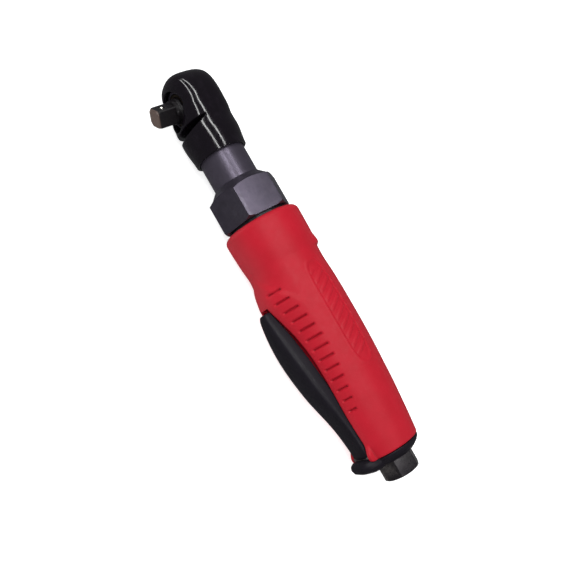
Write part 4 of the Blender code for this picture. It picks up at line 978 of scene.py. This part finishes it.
def square_drive():
    """The anvil: journal, collar and the chamfered square with the ball's hole in one flat."""
    reach = AXIS_Y
    profile = in_mm((-8.7, 6.8), (2.8, 6.8), (2.8, 8.9), (3.7, 8.9), (3.7, 7.3), (10.4, 7.3),
                    (11.2, 6.6), (13.7, 6.6))
    profile = fillet(profile, 0.25 * MM, closed=False)
    journal = lathe("journal", profile, 96, "drive", closed=False)
    half = DRIVE_SQUARE / 2
    corner = half * math.sqrt(2)
    outline = [
        (corner * math.cos(a * math.pi / 2), corner * math.sin(a * math.pi / 2))
        for a in range(4)
    ]
    square = prism("square", outline, 12 * MM, reach, "drive")
    envelope = lathe("square_trim", [
        (11 * MM, corner - 0.35 * MM), (reach - 1.3 * MM, corner - 0.35 * MM),
        (reach - 0.7 * MM, corner - 0.75 * MM), (reach, half + 0.7 * MM),
    ], 96, "drive", closed=False)
    square = boolean(square, [envelope], "INTERSECT")
    anvil = boolean(journal, [square], "UNION")
    low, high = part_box("socket_detent_ball")
    centre = (low + high) / 2
    outward = (centre - Vector((0, centre.y, 0))).normalized()
    hole = bpy.data.meshes.new("ball_hole")
    shape = bmesh.new()
    turn = Vector((0, 0, 1)).rotation_difference(outward).to_matrix().to_4x4()
    bmesh.ops.create_cone(shape, cap_ends=True, segments=40, radius1=BALL_HOLE_RADIUS,
                          radius2=BALL_HOLE_RADIUS, depth=6 * MM,
                          matrix=Matrix.Translation(centre) @ turn)
    shape.to_mesh(hole)
    shape.free()
    anvil = boolean(anvil, [link("ball_hole", hole)])
    anvil = bevel(anvil, 0.18 * MM, 3, 25)
    finish_piece(anvil, "square_drive_ground", drive_material(), "anvil",
                 ("square_drive_anvil",), 40)
    ball = bpy.data.meshes.new("detent")
    shape = bmesh.new()
    bmesh.ops.create_icosphere(shape, subdivisions=4, radius=BALL_RADIUS,
                               matrix=Matrix.Translation(centre))
    shape.to_mesh(ball)
    shape.free()
    finish_piece(link("detent", ball), "detent_ball_polished", ball_material(), "socket_ball",
                 ("socket_detent_ball",))


def drive_material():
    """Black oxide on the sides, and bare brownish steel on the worn end face."""
    oxide = Shader("drive_oxide", (0.0075, 0.0062, 0.0075), 0.3, 0.1, shine=0.6)
    oxide.tint(oxide.span(oxide.noise(2 * MM, 5), 0.45, 0.8, 0.0, 0.6), (0.014, 0.012, 0.013))
    split = oxide.node("ShaderNodeSeparateXYZ")
    oxide.join(oxide.place(), split.inputs["Vector"])
    bare = oxide.span(split.outputs["Y"], 0.9 * MM, 0.1 * MM, 0.0, 0.92)
    oxide.tint(bare, (0.125, 0.085, 0.070))
    oxide.gloss(oxide.noise(0.8 * MM, 4), 0.26, 0.44)
    oxide.relief(oxide.noise(0.18 * MM, 3), 0.010 * MM, 0.6)
    return oxide.material


def ball_material():
    ball = Shader("polished_ball", (0.80, 0.78, 0.72), 0.12, 1.0)
    ball.tint(ball.span(ball.noise(0.8 * MM, 3), 0.5, 0.8, 0.0, 0.4), (0.60, 0.58, 0.52))
    ball.gloss(ball.noise(0.5 * MM, 3), 0.08, 0.18)
    ball.relief(ball.noise(0.2 * MM, 2), 0.002 * MM, 0.5)
    return ball.material


KNOB_AIM = math.radians(35)
KNOB_RADIUS = 5.85 * MM
SCALLOPS = 16
SCALLOP_DEPTH = 0.22 * MM
BAR_HALF_LENGTH = 5.3 * MM
BAR_HALF_WIDTH = 1.25 * MM


def knob():
    """The reversing knob: a scalloped disc with a raised finger bar."""
    outline = []
    for i in range(96):
        angle = 2 * math.pi * i / 96
        scallop = SCALLOP_DEPTH * (0.5 + 0.5 * math.cos(SCALLOPS * angle)) ** 3
        outline.append(((KNOB_RADIUS - scallop) * math.cos(angle),
                        (KNOB_RADIUS - scallop) * math.sin(angle)))
    disc = prism("disc", outline, -9.0 * MM, -12.0 * MM, "drive")
    stem = lathe("stem", [(-5.2 * MM, 3.0 * MM), (-9.5 * MM, 3.0 * MM)], 64, "drive", False)
    nose = lathe("nose", [(1.4 * MM, 2.55 * MM), (-5.5 * MM, 2.55 * MM)], 64, "drive", False)
    bar_outline = fillet([
        (-BAR_HALF_LENGTH, -BAR_HALF_WIDTH), (BAR_HALF_LENGTH, -BAR_HALF_WIDTH),
        (BAR_HALF_LENGTH, BAR_HALF_WIDTH), (-BAR_HALF_LENGTH, BAR_HALF_WIDTH),
    ], 1.2 * MM, 6)
    c = math.cos(KNOB_AIM)
    s = math.sin(KNOB_AIM)
    bar_outline = [(a * c + b * s, b * c - a * s) for a, b in bar_outline]
    bar = prism("bar", bar_outline, -11.5 * MM, -13.0 * MM, "drive")
    piece = boolean(disc, [stem, nose, bar], "UNION")
    piece = bevel(piece, 0.22 * MM, 3, 35)
    finish_piece(piece, "reverse_knob_moulded", MATERIALS["black_oxide"], "reverser",
                 ("reverse_knob",), 40)


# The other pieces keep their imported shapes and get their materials


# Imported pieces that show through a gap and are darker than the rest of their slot
DARKER = {"motor_housing": "anodised", "anvil_bushing": "bronze", "lever_pin": "black_oxide"}


def dress_frame():
    slots = {entry["node"]: entry["material_slot"] for entry in frame["record"]["subparts"]}
    for name, obj in frame["nodes"].items():
        material = MATERIALS[DARKER.get(name, slots[name])]
        for place in obj.material_slots:
            place.material = material


# The set


def stage():
    floor_height = cad_low.z
    rows = [
        [Vector((x, y, floor_height)) for x in (-2.6, 2.8)]
        for y in (-2.6, 2.6)
    ]
    floor = rows_mesh("floor", rows, ring=False)
    floor.data.materials.append(floor_material())
    floor.visible_glossy = False


def area_light(name, place, aim, size, power, glossy=True):
    data = bpy.data.lights.new(name, "AREA")
    data.shape = "RECTANGLE"
    data.size, data.size_y = size
    data.energy = power
    lamp = bpy.data.objects.new(name, data)
    bpy.context.scene.collection.objects.link(lamp)
    lamp.location = place
    toward = Vector(aim) - Vector(place)
    # The lamp's own X, which its first size runs along, is kept parallel to the tool.
    side = Vector((1, 0, 0))
    back = -toward.normalized()
    side = (side - back * side.dot(back)).normalized()
    up = back.cross(side)
    lamp.rotation_mode = "QUATERNION"
    lamp.rotation_quaternion = Matrix((side, up, back)).transposed().to_quaternion()
    lamp.visible_glossy = glossy
    lamp.visible_camera = False


STRIPS_X = -1.1
STRIP_SIZE = (3.2, 0.085)
STRIP_POWER = 11.0


def lights():
    middle = (0.10, AXIS_Y, 0.0)
    area_light("soft_top", (0.10, -0.15, 1.10), middle, (1.5, 1.3), 8.5, glossy=False)
    area_light("soft_side", (0.9, 0.9, 0.5), middle, (0.9, 0.6), 1.6, glossy=False)
    # Two long strips make the pair of thin highlights along the boot.
    beyond_head = (STRIPS_X, AXIS_Y, 0)
    area_light("strip_top", (STRIPS_X, AXIS_Y - 0.40, 0.92), beyond_head, STRIP_SIZE, STRIP_POWER)
    area_light("strip_back", (STRIPS_X, AXIS_Y + 0.10, 1.0), beyond_head, STRIP_SIZE, STRIP_POWER)
    world = bpy.data.worlds.new("studio")
    world.use_nodes = True
    nodes = world.node_tree.nodes
    links = world.node_tree.links
    background = nodes["Background"]
    background.inputs["Color"].default_value = (0.90, 0.92, 0.95, 1)
    background.inputs["Strength"].default_value = 0.12
    bright = nodes.new("ShaderNodeBackground")
    bright.inputs["Color"].default_value = (1, 1, 1, 1)
    bright.inputs["Strength"].default_value = 1.0
    path = nodes.new("ShaderNodeLightPath")
    mix = nodes.new("ShaderNodeMixShader")
    links.new(path.outputs["Is Camera Ray"], mix.inputs["Fac"])
    links.new(background.outputs["Background"], mix.inputs[1])
    links.new(bright.outputs["Background"], mix.inputs[2])
    links.new(mix.outputs["Shader"], nodes["World Output"].inputs["Surface"])
    bpy.context.scene.world = world
    bpy.context.scene.view_settings.view_transform = "Standard"


CAMERA_STATION = 132.5 * MM
CAMERA_DISTANCE = 365 * MM
CAMERA_ELEVATION = math.radians(60)
CAMERA_AIM = (110.6 * MM, 5.1 * MM)
CAMERA_ROLL = math.radians(29.8)
CAMERA_LENS = 42.2


def camera():
    """Looks down at 60 degrees from the drive side, with the head rolled to the upper left."""
    data = bpy.data.cameras.new("camera")
    data.lens = CAMERA_LENS
    data.sensor_width = 36
    data.dof.use_dof = False
    data.clip_start = 0.01
    data.clip_end = 20
    eye = bpy.data.objects.new("camera", data)
    bpy.context.scene.collection.objects.link(eye)
    place = body_point(
        CAMERA_STATION,
        CAMERA_DISTANCE * math.cos(CAMERA_ELEVATION),
        CAMERA_DISTANCE * math.sin(CAMERA_ELEVATION),
    )
    ahead = (body_point(*CAMERA_AIM) - place).normalized()
    head = Vector((-1, 0, 0))
    head = (head - ahead * head.dot(ahead)).normalized()
    across = ahead.cross(head)
    up = head * math.cos(CAMERA_ROLL) + across * math.sin(CAMERA_ROLL)
    right = ahead.cross(up)
    eye.matrix_world = Matrix.Translation(place) @ Matrix(
        (right, up, -ahead)
    ).transposed().to_4x4()
    bpy.context.scene.camera = eye


camera()
dress_frame()
boot()
ratchet_housing()
square_drive()
knob()
collar_nut()
grip()
lever()
exhaust_cap()
inlet()
stage()
lights()
